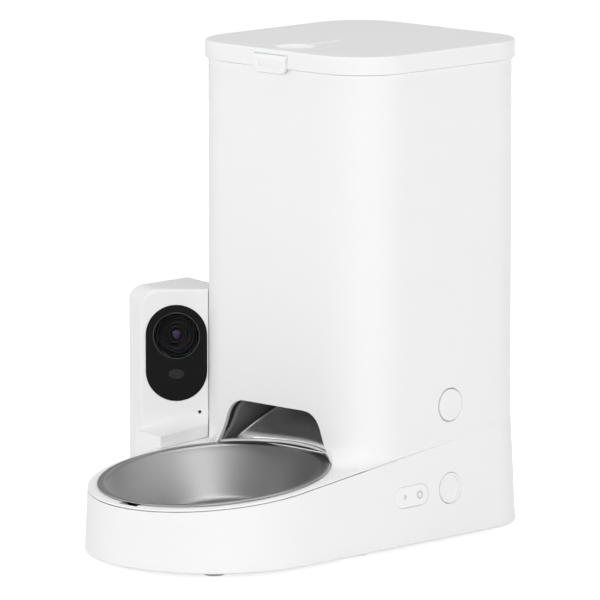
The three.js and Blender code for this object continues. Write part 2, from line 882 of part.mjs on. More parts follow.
// A helical spring along X, pressed between a seat and a button.
function spring(seatX, endX, y, z) {
  const length = endX - seatX - 2 * springWire - 2 * fitGap;
  const steps = springTurns * springSteps;
  const rings = Array.from({ length: steps + 1 }, (_, i) => {
    const angle = (i / springSteps) * 360 * degree;
    const x = seatX + springWire + fitGap + (length * i) / steps;
    return Array.from({ length: springSides }, (__, k) => {
      const turn = (k / springSides) * 360 * degree;
      const out = springRadius + springWire * Math.cos(turn);
      const [atY, atZ] = [y + out * Math.cos(angle), z + out * Math.sin(angle)];
      return new THREE.Vector3(x + springWire * Math.sin(turn), atY, atZ);
    });
  });
  return loft(...rings);
}

// Indicator panel in the drafted wall

// A pill drawn on the wall, which leans with the draft.
function pillShape(length, height) {
  const [half, radius] = [length / 2 - height / 2, height / 2];
  const shape = new THREE.Shape();
  shape.absarc(half, 0, radius, -quarter, quarter, false);
  shape.absarc(-half, 0, radius, quarter, 3 * quarter, false);
  return shape;
}

function onWall(geometry, y, z) {
  const lean = Math.atan(baseDraft);
  return solidOf(geometry.rotateX(quarter).rotateZ(quarter).rotateY(-lean).translate(sideWallX(z), y, z));
}

function panelSolid(grow, depth) {
  const shape = pillShape(panelLength + 2 * grow, panelHeight + 2 * grow);
  const options = { depth, bevelEnabled: false, curveSegments: cornerSteps };
  const low = grow ? overrun - depth : -depth;
  return onWall(new THREE.ExtrudeGeometry(shape, options).translate(0, 0, low), panelY, panelZ);
}

const wallDisc = (radius, offset, low, high) =>
  onWall(rod(radius, high - low).rotateX(quarter).translate(offset, 0, low), panelY, panelZ);

const panelRing = (grow, low, high) =>
  cut(
    wallDisc(ringOuter + grow, ringY, low, high),
    wallDisc(ringInner - grow, ringY, low - overrun, high + overrun),
  );

const indicatorPanel = () =>
  cut(
    panelSolid(0, panelThickness),
    wallDisc(ledRadius + fitGap / 2, ledY, -lensDepth - fitGap, overrun),
    panelRing(fitGap / 2, -lensDepth - fitGap, overrun),
  );

// Lid

const lidRing = (grow, height) => ring(towerChain, lidOverhang + grow, () => height);

function lidShell() {
  const edge = [0, 30, 60, 90].map((angle) => {
    const grow = -lidEdge * (1 - Math.cos(angle * degree));
    return lidRing(grow, bodyHeight - lidEdge * (1 - Math.sin(angle * degree)));
  });
  const body = loft(lidRing(0, lidLow), ...edge);
  const inside = loft(lidRing(-lidWall, lidLow - overrun), lidRing(-lidWall, bodyHeight - lidTop));
  const dishY = towerFront + dishFromFront;
  const cupLow = bodyHeight - dishDepth - lidTop;
  const cup = postZ(dishRadius + lidWall, 0, dishY, cupLow, bodyHeight - lidTop / 2, roundSides);
  const hollowed = dishShares.map(([out, down]) => [dishRadius * out, -dishDepth * down]);
  const dish = turned([...hollowed, [dishRadius, overrun], [0, overrun]], roundSides);
  dish.translate(0, dishY, bodyHeight);
  const tabFront = towerBack + lidOverhang - lidWall / 2;
  const tab = join(
    block(-hingeTabHalf, hingeTabHalf, tabFront, hingeY, hingeZ, lidLow + lidWall),
    postX(hingeBarrel, -hingeTabHalf, hingeTabHalf, hingeY, hingeZ),
  );
  const lidFront = towerFront - lidOverhang;
  const pocketTop = latchPinZ + latchPinDepth + runGap;
  const pocketBack = latchY + latchPinDepth + runGap;
  const pocketHalf = latchHalf + runGap;
  const boss = (x) =>
    block(
      x,
      x + latchPinOver,
      lidFront + lidEdge / 2,
      latchY + latchBarrel,
      latchPinZ - latchBarrel,
      pocketTop,
    );
  const bosses = [latchHalf + runGap, -latchHalf - runGap - latchPinOver].map(boss);
  return cut(
    join(cut(body, inside), cup, tab, ...bosses),
    solidOf(dish),
    postX(hingePin + boreGap, -hingeTabHalf - overrun, hingeTabHalf + overrun, hingeY, hingeZ),
    block(-pocketHalf, pocketHalf, lidFront - overrun, pocketBack, lidLow - overrun, pocketTop),
    postX(latchPinRadius + boreGap, -latchHalf - latchPinOver, latchHalf + latchPinOver, latchY, latchPinZ),
  );
}

const latchFront = towerFront - lidOverhang - latchProud;
const latchY = latchFront + latchPinDepth;

function lidLatch() {
  const low = lidLow - latchHang;
  const half = latchHalf;
  const shape = new THREE.Shape();
  shape.moveTo(half, latchPinZ);
  shape.lineTo(-half, latchPinZ);
  shape.lineTo(-half, low + latchCorner);
  shape.absarc(latchCorner - half, low + latchCorner, latchCorner, 2 * quarter, 3 * quarter, false);
  shape.absarc(half - latchCorner, low + latchCorner, latchCorner, 3 * quarter, 4 * quarter, false);
  const plate = prismY(shape, latchFront, latchFront + latchThickness);
  const nib = block(
    -half / 3,
    half / 3,
    latchFront + latchThickness / 2,
    towerFront - fitGap,
    low + latchHang / 3,
    lidLow - fitGap,
  );
  const window = block(
    -latchWindowHalf,
    latchWindowHalf,
    latchFront - overrun,
    latchFront + latchWindowDepth,
    latchPinZ - latchWindowBelow - latchWindowHeight,
    latchPinZ - latchWindowBelow,
  );
  const crown = postX(latchPinDepth, -half, half, latchY, latchPinZ, roundSides);
  return cut(
    join(
      plate,
      nib,
      postX(latchBarrel, -half, half, latchY, latchPinZ),
      crown.intersect(block(-half, half, latchFront, latchY, latchPinZ, bodyHeight)),
    ),
    window,
    postX(latchPinRadius + boreGap, -half - overrun, half + overrun, latchY, latchPinZ),
  );
}

function lidLiner() {
  const top = bodyHeight - linerTop;
  const plate = loft(lidRing(-lidWall - fitGap, top - linerThickness), lidRing(-lidWall - fitGap, top));
  const plugOut = -towerWall - tankGap - tankWall - plugGap;
  const plugLow = top - linerThickness - linerDrop;
  const groove = sealHeight + 2 * fitGap;
  const plug = join(
    loft(towerRing(plugOut, plugLow), towerRing(plugOut, top - linerThickness / 2)),
    loft(towerRing(plugOut + plugGap / 3, plugLow), towerRing(plugOut + plugGap / 3, plugLow + sealRise)),
    loft(
      towerRing(plugOut + plugGap / 3, plugLow + sealRise + groove),
      towerRing(plugOut + plugGap / 3, plugLow + sealRise + groove + sealRise),
    ),
  );
  const plugIn = plugOut - plugWall;
  const hollow = loft(towerRing(plugIn, plugLow - overrun), towerRing(plugIn, top - linerThickness));
  const pinReach = latchHalf + latchPinOver + runGap;
  return cut(
    join(plate, cut(plug, hollow)),
    block(-pinReach, pinReach, latchFront, latchY + latchPinDepth + runGap, 0, bodyHeight),
    postZ(
      dishRadius + lidWall + fitGap,
      0,
      towerFront + dishFromFront,
      top - linerThickness / 2,
      bodyHeight,
      roundSides,
    ),
  );
}

function lidSeal() {
  const plugOut = -towerWall - tankGap - tankWall - plugGap;
  const low = bodyHeight - linerTop - linerThickness - linerDrop + sealRise + fitGap;
  const outer = plugOut + plugGap - fitGap;
  const inner = plugOut + fitGap;
  return cut(
    loft(
      towerRing(outer - fitGap, low),
      towerRing(outer, low + sealHeight / 2),
      towerRing(outer - fitGap, low + sealHeight),
    ),
    loft(towerRing(inner, low - overrun), towerRing(inner, low + sealHeight + overrun)),
  );
}

function desiccantBox() {
  const top = bodyHeight - linerTop - linerThickness - fitGap;
  const low = top - desiccantHeight;
  const cup = cut(
    postZ(desiccantRadius, 0, desiccantY, low, top, roundSides),
    postZ(desiccantRadius - desiccantWall, 0, desiccantY, low + desiccantWall, top + overrun, roundSides),
  );
  const slots = Array.from({ length: desiccantSlots }, (_, i) => {
    const slot = new THREE.BoxGeometry(slotLength, slotWidth, 2 * desiccantWall + overrun);
    slot.translate(desiccantRadius - slotLength / 2 - 2 * desiccantWall, 0, 0);
    return solidOf(slot.rotateZ((i / desiccantSlots) * 360 * degree).translate(0, desiccantY, low));
  });
  return cut(cup, ...slots);
}

// Food path

function foodTank() {
  const out = -towerWall - tankGap;
  const seat = chamberRadius + chamberWall;
  const bottomChain = roundedChain(seat, seat, seat - fitGap, rotorY);
  const bottom = (grow, height) => ring(bottomChain, grow, () => height);
  const low = chamberTop + fitGap;
  const body = join(
    loft(
      bottom(0, low),
      bottom(0, low + tankFloor),
      towerRing(out, tankFunnelTop),
      towerRing(out, towerTop + fitGap),
    ),
    loft(towerRing(-runGap, towerTop + fitGap), towerRing(-runGap, towerTop + fitGap + tankFlange)),
  );
  const inside = loft(
    bottom(-tankWall, low + tankFloor),
    towerRing(out - tankWall, tankFunnelTop),
    towerRing(out - tankWall, bodyHeight),
  );
  const mouthY = rotorY + tankMouthBehind;
  const mouth = postZ(tankMouthRadius, 0, mouthY, low - overrun, low + tankFloor + overrun, roundSides);
  return cut(body, inside, mouth);
}

function rotorChamber() {
  const cup = cut(
    postZ(chamberRadius + chamberWall, 0, rotorY, chamberLow, chamberTop, roundSides),
    postZ(chamberRadius, 0, rotorY, chamberLow + chamberFloor, chamberTop + overrun, roundSides),
  );
  const [low, high] = [chamberLow - overrun, chamberLow + chamberFloor + overrun];
  return cut(
    cup,
    block(-outletHalf, outletHalf, outletFront, outletBack, low, high),
    postZ(rotorShaft + runGap, 0, rotorY, low, high),
  );
}

function rotor() {
  const low = chamberLow + chamberFloor + vaneGap;
  const high = chamberTop - vaneGap;
  const hub = turned(
    [
      [0, low],
      [rotorHub, low],
      [rotorHub, high - rotorHub / 2],
      [rotorHub / 2, high],
      [0, high],
    ],
    roundSides,
  ).translate(0, rotorY, 0);
  const vanes = Array.from({ length: vaneCount }, (_, i) => {
    const length = chamberRadius - vaneGap;
    const vane = new THREE.BoxGeometry(length, vaneThickness, high - rotorHub / 2 - low);
    vane.translate(length / 2, 0, (high - rotorHub / 2 + low) / 2);
    return solidOf(vane.rotateZ(((i + 0.5) / vaneCount) * 360 * degree).translate(0, rotorY, 0));
  });
  const shaft = postZ(rotorShaft, 0, rotorY, highGearZ - gearStep / 2, low + vaneGap);
  return join(solidOf(hub), ...vanes, shaft);
}

// A spur gear with flanks near the involute, its first tooth at the angle given.
function gear(teeth, y, low, face, phase) {
  const pitch = (gearModule * teeth) / 2;
  const base = pitch * Math.cos(pressureAngle * degree);
  const involute = (radius) => {
    const angle = Math.acos(Math.min(1, base / radius));
    return Math.tan(angle) - angle;
  };
  const halfAtPitch = quarter / teeth - toothPlay / (2 * pitch);
  const halfAt = (radius) => halfAtPitch + involute(pitch) - involute(radius);
  const radii = [pitch - toothRootShare * gearModule, pitch + gearModule];
  const points = Array.from({ length: teeth }, (_, i) => {
    const middle = phase * degree + (i / teeth) * 360 * degree;
    const sides = [...radii.map((r) => [r, -halfAt(r)]), ...radii.map((r) => [r, halfAt(r)]).reverse()];
    return sides.map(([r, turn]) => {
      const angle = middle + turn;
      return new THREE.Vector2(r * Math.cos(angle), y + r * Math.sin(angle));
    });
  }).flat();
  return prismZ(new THREE.Shape(points), low, low + face);
}

const gapPhase = (teeth) => 270 + 180 / teeth;

const rotorGear = () =>
  cut(
    gear(wheelTeeth, rotorY, highGearZ, highGearFace, 90),
    postZ(rotorShaft + fitGap, 0, rotorY, highGearZ - overrun, highGearZ + highGearFace + overrun),
  );

const pinionFace = highGearZ + highGearFace - lowGearZ - lowGearFace / 2;

const middleGear = () =>
  cut(
    join(
      gear(wheelTeeth, middleGearY, lowGearZ, lowGearFace, 90),
      gear(pinionTeeth, middleGearY, lowGearZ + lowGearFace / 2, pinionFace, gapPhase(pinionTeeth)),
    ),
    postZ(axleRadius + boreGap, 0, middleGearY, lowGearZ - overrun, highGearZ + highGearFace + overrun),
  );

const motorPinion = () =>
  cut(
    gear(pinionTeeth, motorY, lowGearZ, lowGearFace, gapPhase(pinionTeeth)),
    postZ(motorShaft + fitGap, 0, motorY, lowGearZ - overrun, lowGearZ + lowGearFace + overrun),
  );

function gearCase() {
  const half = wheelPitch + gearModule + caseGap + caseWall;
  const front = rotorY - half;
  const back = motorY + motorRadius + caseWall;
  const low = gearPlateTop - gearPlate;
  const top = chamberLow - fitGap;
  const chain = roundedChain(half, (back - front) / 2, half - caseWall, (front + back) / 2);
  const at = (grow, height) => ring(chain, grow, () => height);
  const legs = [
    [-half + caseLegRadius, front + half],
    [half - caseLegRadius, front + half],
    [-half + caseLegRadius, back - half],
    [half - caseLegRadius, back - half],
  ].map(([x, y]) => {
    const out = Math.sign(x) * (motorRadius * 2 + 2 * caseLegRadius);
    return join(
      postZ(caseLegRadius, out, y, 0, gearPlateTop),
      block(Math.min(x, out), Math.max(x, out), y - caseLegRadius, y + caseLegRadius, low, gearPlateTop),
    );
  });
  const body = cut(
    loft(at(0, low), at(0, top)),
    loft(at(-caseWall, gearPlateTop), at(-caseWall, top + overrun)),
  );
  return cut(
    join(body, ...legs, postZ(axleRadius, 0, middleGearY, low + gearPlate / 2, highGearZ + highGearFace)),
    underTray,
    postZ(motorShaft + runGap, 0, motorY, low - overrun, gearPlateTop + overrun),
  );
}

function motor() {
  const top = gearPlateTop - gearPlate - fitGap;
  return join(
    postZ(motorRadius, 0, motorY, top - motorLength, top, roundSides),
    postZ(motorBoss, 0, motorY, top - motorLength - overrun, top),
    postZ(motorShaft, 0, motorY, top - overrun, lowGearZ + lowGearFace),
  );
}

// Dark shroud behind the arch, with the fan-shaped ramp that the food slides down.
function chute() {
  const front = towerFront + towerWall + fitGap;
  const roof = chamberLow - fitGap;
  const floor = seamAt(towerFront);
  const outer = join(
    prismY(archShape(chuteWall), front, chuteBack),
    block(-throatHalf - chuteWall, throatHalf + chuteWall, throatFront, chuteBack, floor, roof),
  );
  const inner = join(
    prismY(archShape(0), front - overrun, chuteBack - chuteWall),
    block(
      -throatHalf,
      throatHalf,
      throatFront + chuteWall,
      chuteBack - chuteWall,
      floor + chuteWall,
      roof + overrun,
    ),
  );
  const half = archFootHalf + chuteWall;
  const bottom = block(-half, half, front, chuteBack, 0, roof);
  const walls = join(
    cut(outer, inner),
    bottom.intersect(loft(traySeamRing(0, 0), traySeamRing(0, fitGap + chuteWall))).intersect(outer),
  );
  const stations = Array.from({ length: rampSteps + 1 }, (_, i) => i / rampSteps);
  const footReach = bowlRim + rimSeatGap + lipWidth;
  const footY = bowlCentreY + footReach;
  const rampAt = (along, lower) => {
    const risen = along ** rampRisePower;
    const half = rampFootHalf + (rampTopHalf - rampFootHalf) * risen;
    const dish = rampFootDish + (rampDish - rampFootDish) * along;
    return stations.map((across) => {
      const side = 2 * across - 1;
      const x = half * side;
      const arc = (1 - along) * footReach * (1 - Math.cos(Math.asin(x / footReach)));
      const y = footY - arc + (chuteBack - chuteWall / 2 - footY) * along;
      const edge = seamAt(footY - arc) + rampFootRise;
      const drop = dish * (1 - Math.abs(side) ** rampEdgePower) + (lower ? rampThickness : 0);
      return new THREE.Vector3(x, y, edge + (rampTopZ - edge) * risen - drop);
    });
  };
  const rings = stations.map((along) => [...rampAt(along, false), ...rampAt(along, true).reverse()]);
  const room = loft(
    towerSeamRing(-towerWall - fitGap, -overrun),
    towerRing(-towerWall - fitGap, bodyHeight),
  );
  return cut(
    join(walls, loft(...rings)).intersect(room),
    underTray,
    trayDisc(footReach + fitGap, -bowlDepth, bowlDepth * 2),
  );
}

function bowl() {
  const wallTop = bowlRim - bowlRimWidth;
  const bend = bowlFloorRadius + bowlBend;
  const under = bowlSheet + bowlRimDrop / 4;
  const profile = [
    [0, -bowlDepth + bowlSheet],
    [bowlFloorRadius, -bowlDepth + bowlSheet],
    [bend - bowlSheet / 2, -bowlDepth + bowlSheet + bowlBendRise],
    [wallTop - bowlSheet - bowlRimDrop, -bowlRimDrop],
    [wallTop - bowlSheet / 2, bowlSheet],
    [bowlRim - bowlSheet, bowlSheet],
    [bowlRim, bowlSheet / 2],
    [bowlRim, -bowlSheet / 4],
    [bowlRim - bowlSheet, -bowlSheet / 4],
    [bowlRim - bowlSheet, 0],
    [wallTop, 0],
    [wallTop - bowlRimDrop / 2, -under],
    [bend, -bowlDepth + bowlBendRise],
    [bowlFloorRadius, -bowlDepth],
    [0, -bowlDepth],
  ];
  return onTray(turned(profile, bowlSides).translate(0, 0, fitGap + bowlSheet / 4));
}

// Bottom, batteries and electronics

function bottomCover() {
  const plate = loft(baseRing(-baseWall - fitGap, 0), baseRing(-baseWall - fitGap, coverThickness));
  const door = roundedDoor(fitGap, -overrun, doorThickness + fitGap);
  const bay = block(
    -bayHalfX,
    bayHalfX,
    batteryY - bayHalfY,
    batteryY + bayHalfY,
    -overrun,
    coverThickness + overrun,
  );
  return cut(
    plate,
    door,
    bay,
    ...footPlaces.map(([x, y]) => postZ(footTop + fitGap, x, y, -overrun, footPocket)),
    ...coverPosts.map(([x, y]) => postZ(screwBore, x, y, -overrun, coverThickness + overrun)),
    ...coverPosts.map(([x, y]) => postZ(screwHead + fitGap, x, y, -overrun, screwHeadHeight)),
  );
}

const footPlaces = [
  [footFrontX, footFrontY],
  [-footFrontX, footFrontY],
  [footMiddleX, footMiddleY],
  [-footMiddleX, footMiddleY],
  [footRearX, footRearY],
  [-footRearX, footRearY],
];

function roundedDoor(grow, low, high) {
  const chain = roundedChain(bayHalfX + doorRim, bayHalfY + doorRim, doorRim, batteryY);
  return loft(
    ring(chain, grow, () => low),
    ring(chain, grow, () => high),
  );
}

const batteryDoor = () => roundedDoor(0, 0, doorThickness);

function batteryHolder() {
  const [x, y] = [bayHalfX + holderWall, bayHalfY + holderWall];
  const low = coverThickness + fitGap;
  const high = low + 2 * cellRadius + 2 * cellGap;
  return cut(
    block(-x, x, batteryY - y, batteryY + y, low, high + holderWall),
    block(-bayHalfX, bayHalfX, batteryY - bayHalfY, batteryY + bayHalfY, low - overrun, high),
  );
}

function batteryCell(index) {
  const x = (index - 1) * (2 * cellRadius + cellGap);
  const z = coverThickness + fitGap + cellGap / 2 + cellRadius;
  const front = batteryY - (cellLength + cellNubHeight) / 2;
  return join(
    postY(cellRadius, x, front, front + cellLength, z, roundSides),
    postY(cellNub, x, front + cellLength - overrun, front + cellLength + cellNubHeight, z),
  );
}

function foot([x, y]) {
  const top = footPocket - fitGap;
  return solidOf(
    rod(footBottom, top + footHeight, smallSides, footTop).rotateX(quarter).translate(x, y, -footHeight),
  );
}

function screwUp(x, y, headZ) {
  return join(
    postZ(screwHead, x, y, headZ, headZ + screwHeadHeight - fitGap),
    postZ(screwShank, x, y, headZ, headZ + screwLength),
  );
}

const cameraScrew = (y) => {
  const inner = -sideWallX(cameraScrewZ) + baseWall + fitGap;
  return join(
    postX(screwHead, inner, inner + screwHeadHeight, y, cameraScrewZ),
    postX(screwShank, inner - screwLength, inner + screwHeadHeight / 2, y, cameraScrewZ),
  );
};

function mainBoard() {
  const board = block(boardX, boardX + boardThickness, boardFront, boardBack, boardLow, boardHigh);
  const inBoard = boardX + boardThickness / 2;
  const face = boardX + boardThickness;
  const chip = block(inBoard, face + chipProud, chipFront, chipBack, chipLow, chipHigh);
  const plug = block(inBoard, face + plugProud, plugFront, plugBack, plugLow, plugHigh);
  return join(board, chip, plug);
}

function powerInlet() {
  const wallY = baseRear - baseDraft * inletZ;
  const body = block(
    inletX - inletWidth / 2,
    inletX + inletWidth / 2,
    wallY - inletDepth,
    wallY - fitGap,
    inletZ - inletHeight / 2,
    inletZ + inletHeight / 2,
  );
  return join(
    cut(body, postY(inletBore, inletX, wallY - inletBoreDepth, wallY + overrun, inletZ)),
    postY(inletPin, inletX, wallY - inletBoreDepth - overrun, wallY - 2 * fitGap, inletZ),
  );
}

// Camera module. Its panel frame has U along the panel away from the tower, V up and W into the housing.

const panelMatrix = new THREE.Matrix4().makeBasis(
  new THREE.Vector3(-Math.cos(cameraTurn * degree), -Math.sin(cameraTurn * degree), 0),
  new THREE.Vector3(0, 0, 1),
  new THREE.Vector3(-Math.sin(cameraTurn * degree), Math.cos(cameraTurn * degree), 0),
);
panelMatrix.setPosition(cameraX, cameraY, 0);

const onPanel = (geometry) => solidOf(geometry.applyMatrix4(panelMatrix));

// A rod square to the panel, from one depth to another.
function panelRod(radius, u, v, near, far, sides = roundSides, tipRadius = radius) {
  return onPanel(rod(radius, far - near, sides, tipRadius).rotateX(quarter).translate(u, v, near));
}

function panelPrism(shape, near, far) {
  const options = { depth: far - near, bevelEnabled: false, curveSegments: 2 * cornerSteps };
  return onPanel(new THREE.ExtrudeGeometry(shape, options).translate(0, 0, near));
}

// The front outline at some depth, from below the base up to the rounded top corner.
function panelOutline(grow, inset, depth) {
  const right = -cameraPanelWidth;
  const left = cameraPanelWidth + grow - inset;
  const top = cameraTop - inset;
  const sharper = ((cameraCorner - cameraDeepCorner) * grow) / cameraSpread;
  const corner = cameraCorner - sharper - inset;
  const points = [[right, -overrun], [left, -overrun]];
  for (let i = 0; i <= cornerSteps; i++) {
    const angle = (quarter * i) / cornerSteps;
    points.push([left - corner + corner * Math.cos(angle), top - corner + corner * Math.sin(angle)]);
  }
  points.push([right, top]);
  return points.map(([u, v]) => new THREE.Vector3(u, v, depth));
}

function cameraBlock(inset, near) {
  const deep = cameraSpreadDepth * 4;
  const nearGrow = (cameraSpread * near) / cameraSpreadDepth;
  return onPanel(
    skin([
      panelOutline(nearGrow, inset, near),
      panelOutline(cameraSpread, inset, cameraSpreadDepth),
      panelOutline(cameraSpread, inset, deep),
    ]),
  );
}

// The module's plan behind its panel, with the rounded corner at its back, under the rounded edge of
// its left side.
function cameraPlan(inset) {
  const left = cameraLeft + inset;
  const slope = (cameraBackInner - cameraBack) / (-towerHalfWidth - cameraLeft);
  const back = (x) => cameraBack - inset + slope * (x - cameraLeft);
  const plan = new THREE.Shape();
  plan.moveTo(left, footCornerY - overrun);
  plan.lineTo(cameraX / 2, footCornerY - overrun);
  plan.lineTo(cameraX / 2, back(cameraX / 2));
  plan.lineTo(left + cameraBackCorner, back(left + cameraBackCorner));
  plan.quadraticCurveTo(left, back(left), left, back(left) - cameraBackCorner);
  const top = cameraTop - inset;
  const edge = cameraTopEdge - inset;
  const section = new THREE.Shape();
  section.moveTo(left, cameraLow + inset);
  section.lineTo(cameraX / 2, cameraLow + inset);
  section.lineTo(cameraX / 2, top);
  section.lineTo(left + edge, top);
  section.absarc(left + edge, top - edge, edge, quarter, 2 * quarter, false);
  return prismZ(plan, 0, bodyHeight).intersect(prismY(section, footCornerY - overrun, cameraBack + overrun));
}

const cameraClear = join(towerBody(towerGap), underTray);

function cameraHousing() {
  const near = cameraWall + fitGap;
  const outer = cameraBlock(0, near).intersect(cameraPlan(0));
  const inner = cameraBlock(cameraWall, near - overrun).intersect(cameraPlan(cameraWall));
  const clear = fitGap + cameraWall;
  const wide = join(
    towerBody(towerGap + cameraWall),
    loft(baseRing(clear, -overrun), traySeamRing(clear, clear)),
  );
  const bosses = cameraScrewYs.map((y) =>
    postX(postRadius, cameraLeft + cameraWall / 2, -baseHalfWidth, y, cameraScrewZ),
  );
  return cut(
    join(cut(outer, cut(inner, wide)), ...bosses.map((boss) => boss.intersect(outer))),
    cameraClear,
    ...cameraScrewYs.map((y) =>
      postX(screwBore, -baseHalfWidth - screwLength, -baseHalfWidth + overrun, y, cameraScrewZ),
    ),
  );
}

// The slanting foot in front of the panel, a prism over a plan that ends level with the tray's slope.
function footBlock(inset, lift) {
  const along = new THREE.Vector3(cameraPanelWidth - inset, 0, cameraWall / 2).applyMatrix4(panelMatrix);
  const shape = new THREE.Shape();
  shape.moveTo(along.x, along.y);
  shape.lineTo(along.x + inset, footCornerY + inset + (along.y - footCornerY) * footSideShare);
  shape.lineTo(footCornerX - inset, footCornerY + inset);
  shape.lineTo(footInnerX - inset, footInnerY);
  shape.lineTo(cameraX - inset, cameraY);
  const top = loft(traySeamRing(bodyHeight, -bodyHeight), traySeamRing(bodyHeight, lift));
  return prismZ(shape, cameraLow + inset, archTopZ * 2).intersect(top);
}

function cameraFront() {
  const shape = new THREE.Shape(
    panelOutline(0, 0, 0)
      .map((p) => new THREE.Vector2(Math.max(p.x, 0), p.y))
      .filter((p, i, all) => !i || p.distanceTo(all[i - 1]) > weld),
  );
  const high = seamAt(footInnerY) + ledgeHeight;
  const plate = panelPrism(shape, 0, cameraWall);
  // The fillet between the foot's top and the panel, a wedge with a hollow face.
  const fillet = Array.from({ length: cornerSteps + 1 }, (_, i) => {
    const angle = (quarter * i) / cornerSteps;
    return [-ledgeFillet * (1 - Math.sin(angle)), high + ledgeFillet * (1 - Math.cos(angle))];
  });
  const behind = [
    [cameraWall / 2, 0],
    [-ledgeFillet, 0],
  ];
  const wedgeShape = flatShape([...behind, ...fillet, [cameraWall / 2, high + ledgeFillet]]);
  const wedgeOptions = { depth: cameraPanelWidth + 2 * ledgeFillet, bevelEnabled: false };
  const wedgeRun = new THREE.ExtrudeGeometry(wedgeShape, wedgeOptions).rotateY(-quarter);
  const wedge = onPanel(wedgeRun.translate(cameraPanelWidth + ledgeFillet, 0, 0));
  const foot = footBlock(0, ledgeHeight);
  const wedgeZone = footBlock(0, ledgeHeight + ledgeFillet * 2);
  const far = cameraPanelWidth * 2;
  const wallShape = flatShape([[-far, 0], [far, 0], [far, cameraTop], [-far, cameraTop]]);
  const wallZone = panelPrism(wallShape, -cameraWall, cameraWall);
  const frontHollow = cut(
    footBlock(cameraWall, ledgeHeight - cameraWall),
    wallZone,
  );
  const body = join(plate.intersect(cameraPlan(0)), foot, wedge.intersect(wedgeZone));
  return cut(
    body,
    cameraBehind(),
    frontHollow,
    cameraClear,
    windowPrism(fitGap / 2, -overrun, windowThickness + fitGap / 2),
    windowPrism(-windowLedge, -overrun, cameraWall + overrun),
    panelRod(microphoneHole, microphoneU, microphoneZ, -overrun, cameraWall + overrun, smallSides),
  );
}

// Everything behind the front cover.
function cameraBehind() {
  const far = cameraPanelWidth * 2;
  const shape = flatShape([[-far, -overrun], [far, -overrun], [far, bodyHeight], [-far, bodyHeight]]);
  return panelPrism(shape, cameraWall, far);
}

// The window's outline: straight sides and round ends.
function windowPrism(grow, near, far) {
  const radius = windowWidth / 2 + grow;
  const half = windowHeight / 2 - windowWidth / 2;
  const shape = new THREE.Shape();
  shape.absarc(windowMiddleU, windowMiddleZ + half, radius, 0, 2 * quarter, false);
  shape.absarc(windowMiddleU, windowMiddleZ - half, radius, 2 * quarter, 4 * quarter, false);
  return panelPrism(shape, near, far);
}

function infraredPrism(grow, near, far) {
  const shape = new THREE.Shape();
  const [wide, high] = [infraredHalfWidth + grow, infraredHalfHeight + grow];
  shape.absellipse(windowMiddleU, infraredZ, wide, high, 0, 4 * quarter, false, 0);
  return panelPrism(shape, near, far);
}

const windowNear = fitGap / 2;

const cameraWindow = () =>
  cut(
    windowPrism(0, windowNear, windowThickness),
    panelRod(lensRing + fitGap / 2, windowMiddleU, lensZ, -overrun, windowThickness + overrun),
    infraredPrism(fitGap / 2, -overrun, windowNear + infraredDepth + fitGap / 2),
  );

const infraredWindow = () => infraredPrism(0, windowNear, windowNear + infraredDepth);

const lensRingPiece = () =>
  cut(
    panelRod(lensRing, windowMiddleU, lensZ, windowNear - lensRingProud, windowNear + lensRingDepth),
    panelRod(lensRing - lensRingWidth, windowMiddleU, lensZ, -overrun, windowNear + lensRingDepth + overrun),
  );

// A domed glass that stands in the ring.
function lensDome() {
  const radius = lensRing - lensRingWidth - fitGap / 2;
  const profile = [[0, windowNear + lensRingDepth], [radius, windowNear + lensRingDepth]];
  for (let i = 0; i <= cornerSteps; i++) {
    const angle = (quarter * i) / cornerSteps;
    profile.push([radius * Math.cos(angle), windowNear - domeBulge * Math.sin(angle)]);
  }
  profile[profile.length - 1][0] = 0;
  return onPanel(turned(profile, roundSides).translate(windowMiddleU, lensZ, 0));
}

// The barrel behind the glass, with its stepped cone and its small front lens.
function lensBarrel() {
  const front = windowNear + lensRingDepth + fitGap;
  const profile = [
    [0, front + coneDepth],
    [barrelEye, front + coneDepth],
    [barrelEye, front + coneDepth - infraredDepth],
    [barrelBore, front + coneDepth - infraredDepth],
    [(barrelBore + barrelRadius) / 2, front + coneDepth / 2],
    [barrelRadius - plugWall, front],
    [barrelRadius, front],
    [barrelRadius, front + barrelLength],
    [0, front + barrelLength],
  ];
  return onPanel(turned(profile, roundSides).translate(windowMiddleU, lensZ, 0));
}

function cameraBoard() {
  const near = windowNear + lensRingDepth + fitGap + barrelLength + fitGap;
  const shape = flatShape([
    [windowMiddleU - cameraBoardHalf, cameraBoardLow],
    [windowMiddleU + cameraBoardHalf, cameraBoardLow],
    [windowMiddleU + cameraBoardHalf, cameraBoardHigh],
    [windowMiddleU - cameraBoardHalf, cameraBoardHigh],
  ]);
  return panelPrism(shape, near, near + cameraBoardThickness);
}

const behindCover = cameraWall + fitGap;

const microphone = () =>
  panelRod(
    microphoneRadius,
    microphoneU,
    microphoneZ,
    behindCover,
    behindCover + microphoneDepth,
    smallSides,
  );

const speaker = () => panelRod(speakerRadius, speakerU, speakerZ, behindCover, behindCover + speakerDepth);

// Colours and finishes

const finish = (color, roughness, metalness = 0) =>
  new THREE.MeshStandardMaterial({ color, roughness, metalness, flatShading: true });
const whiteShell = finish(0xf4f4f4, 0.35);
const whiteGloss = finish(0xf8f8f8, 0.2);
const steel = finish(0xa8a8aa, 0.3, 1);
const brightSteel = finish(0xd0d0d2, 0.25, 1);
const darkPlastic = finish(0x3f3f40, 0.35);
const blackGloss = finish(0x141415, 0.08);
const blackMatte = finish(0x0c0c0d, 0.5);
const clearSmoke = finish(0x2a2c30, 0.05);
const glass = finish(0x1a1c22, 0.02);
const greyRubber = finish(0xb9babb, 0.8);
const clearTank = finish(0xdde3e6, 0.2);
const gearPlastic = finish(0xe9e4d4, 0.45);
const boardGreen = finish(0x1f5b3a, 0.5);
const cellBlue = finish(0x3b4f6b, 0.4);
const lightGrey = finish(0xd4d5d6, 0.35);

// The whole feeder

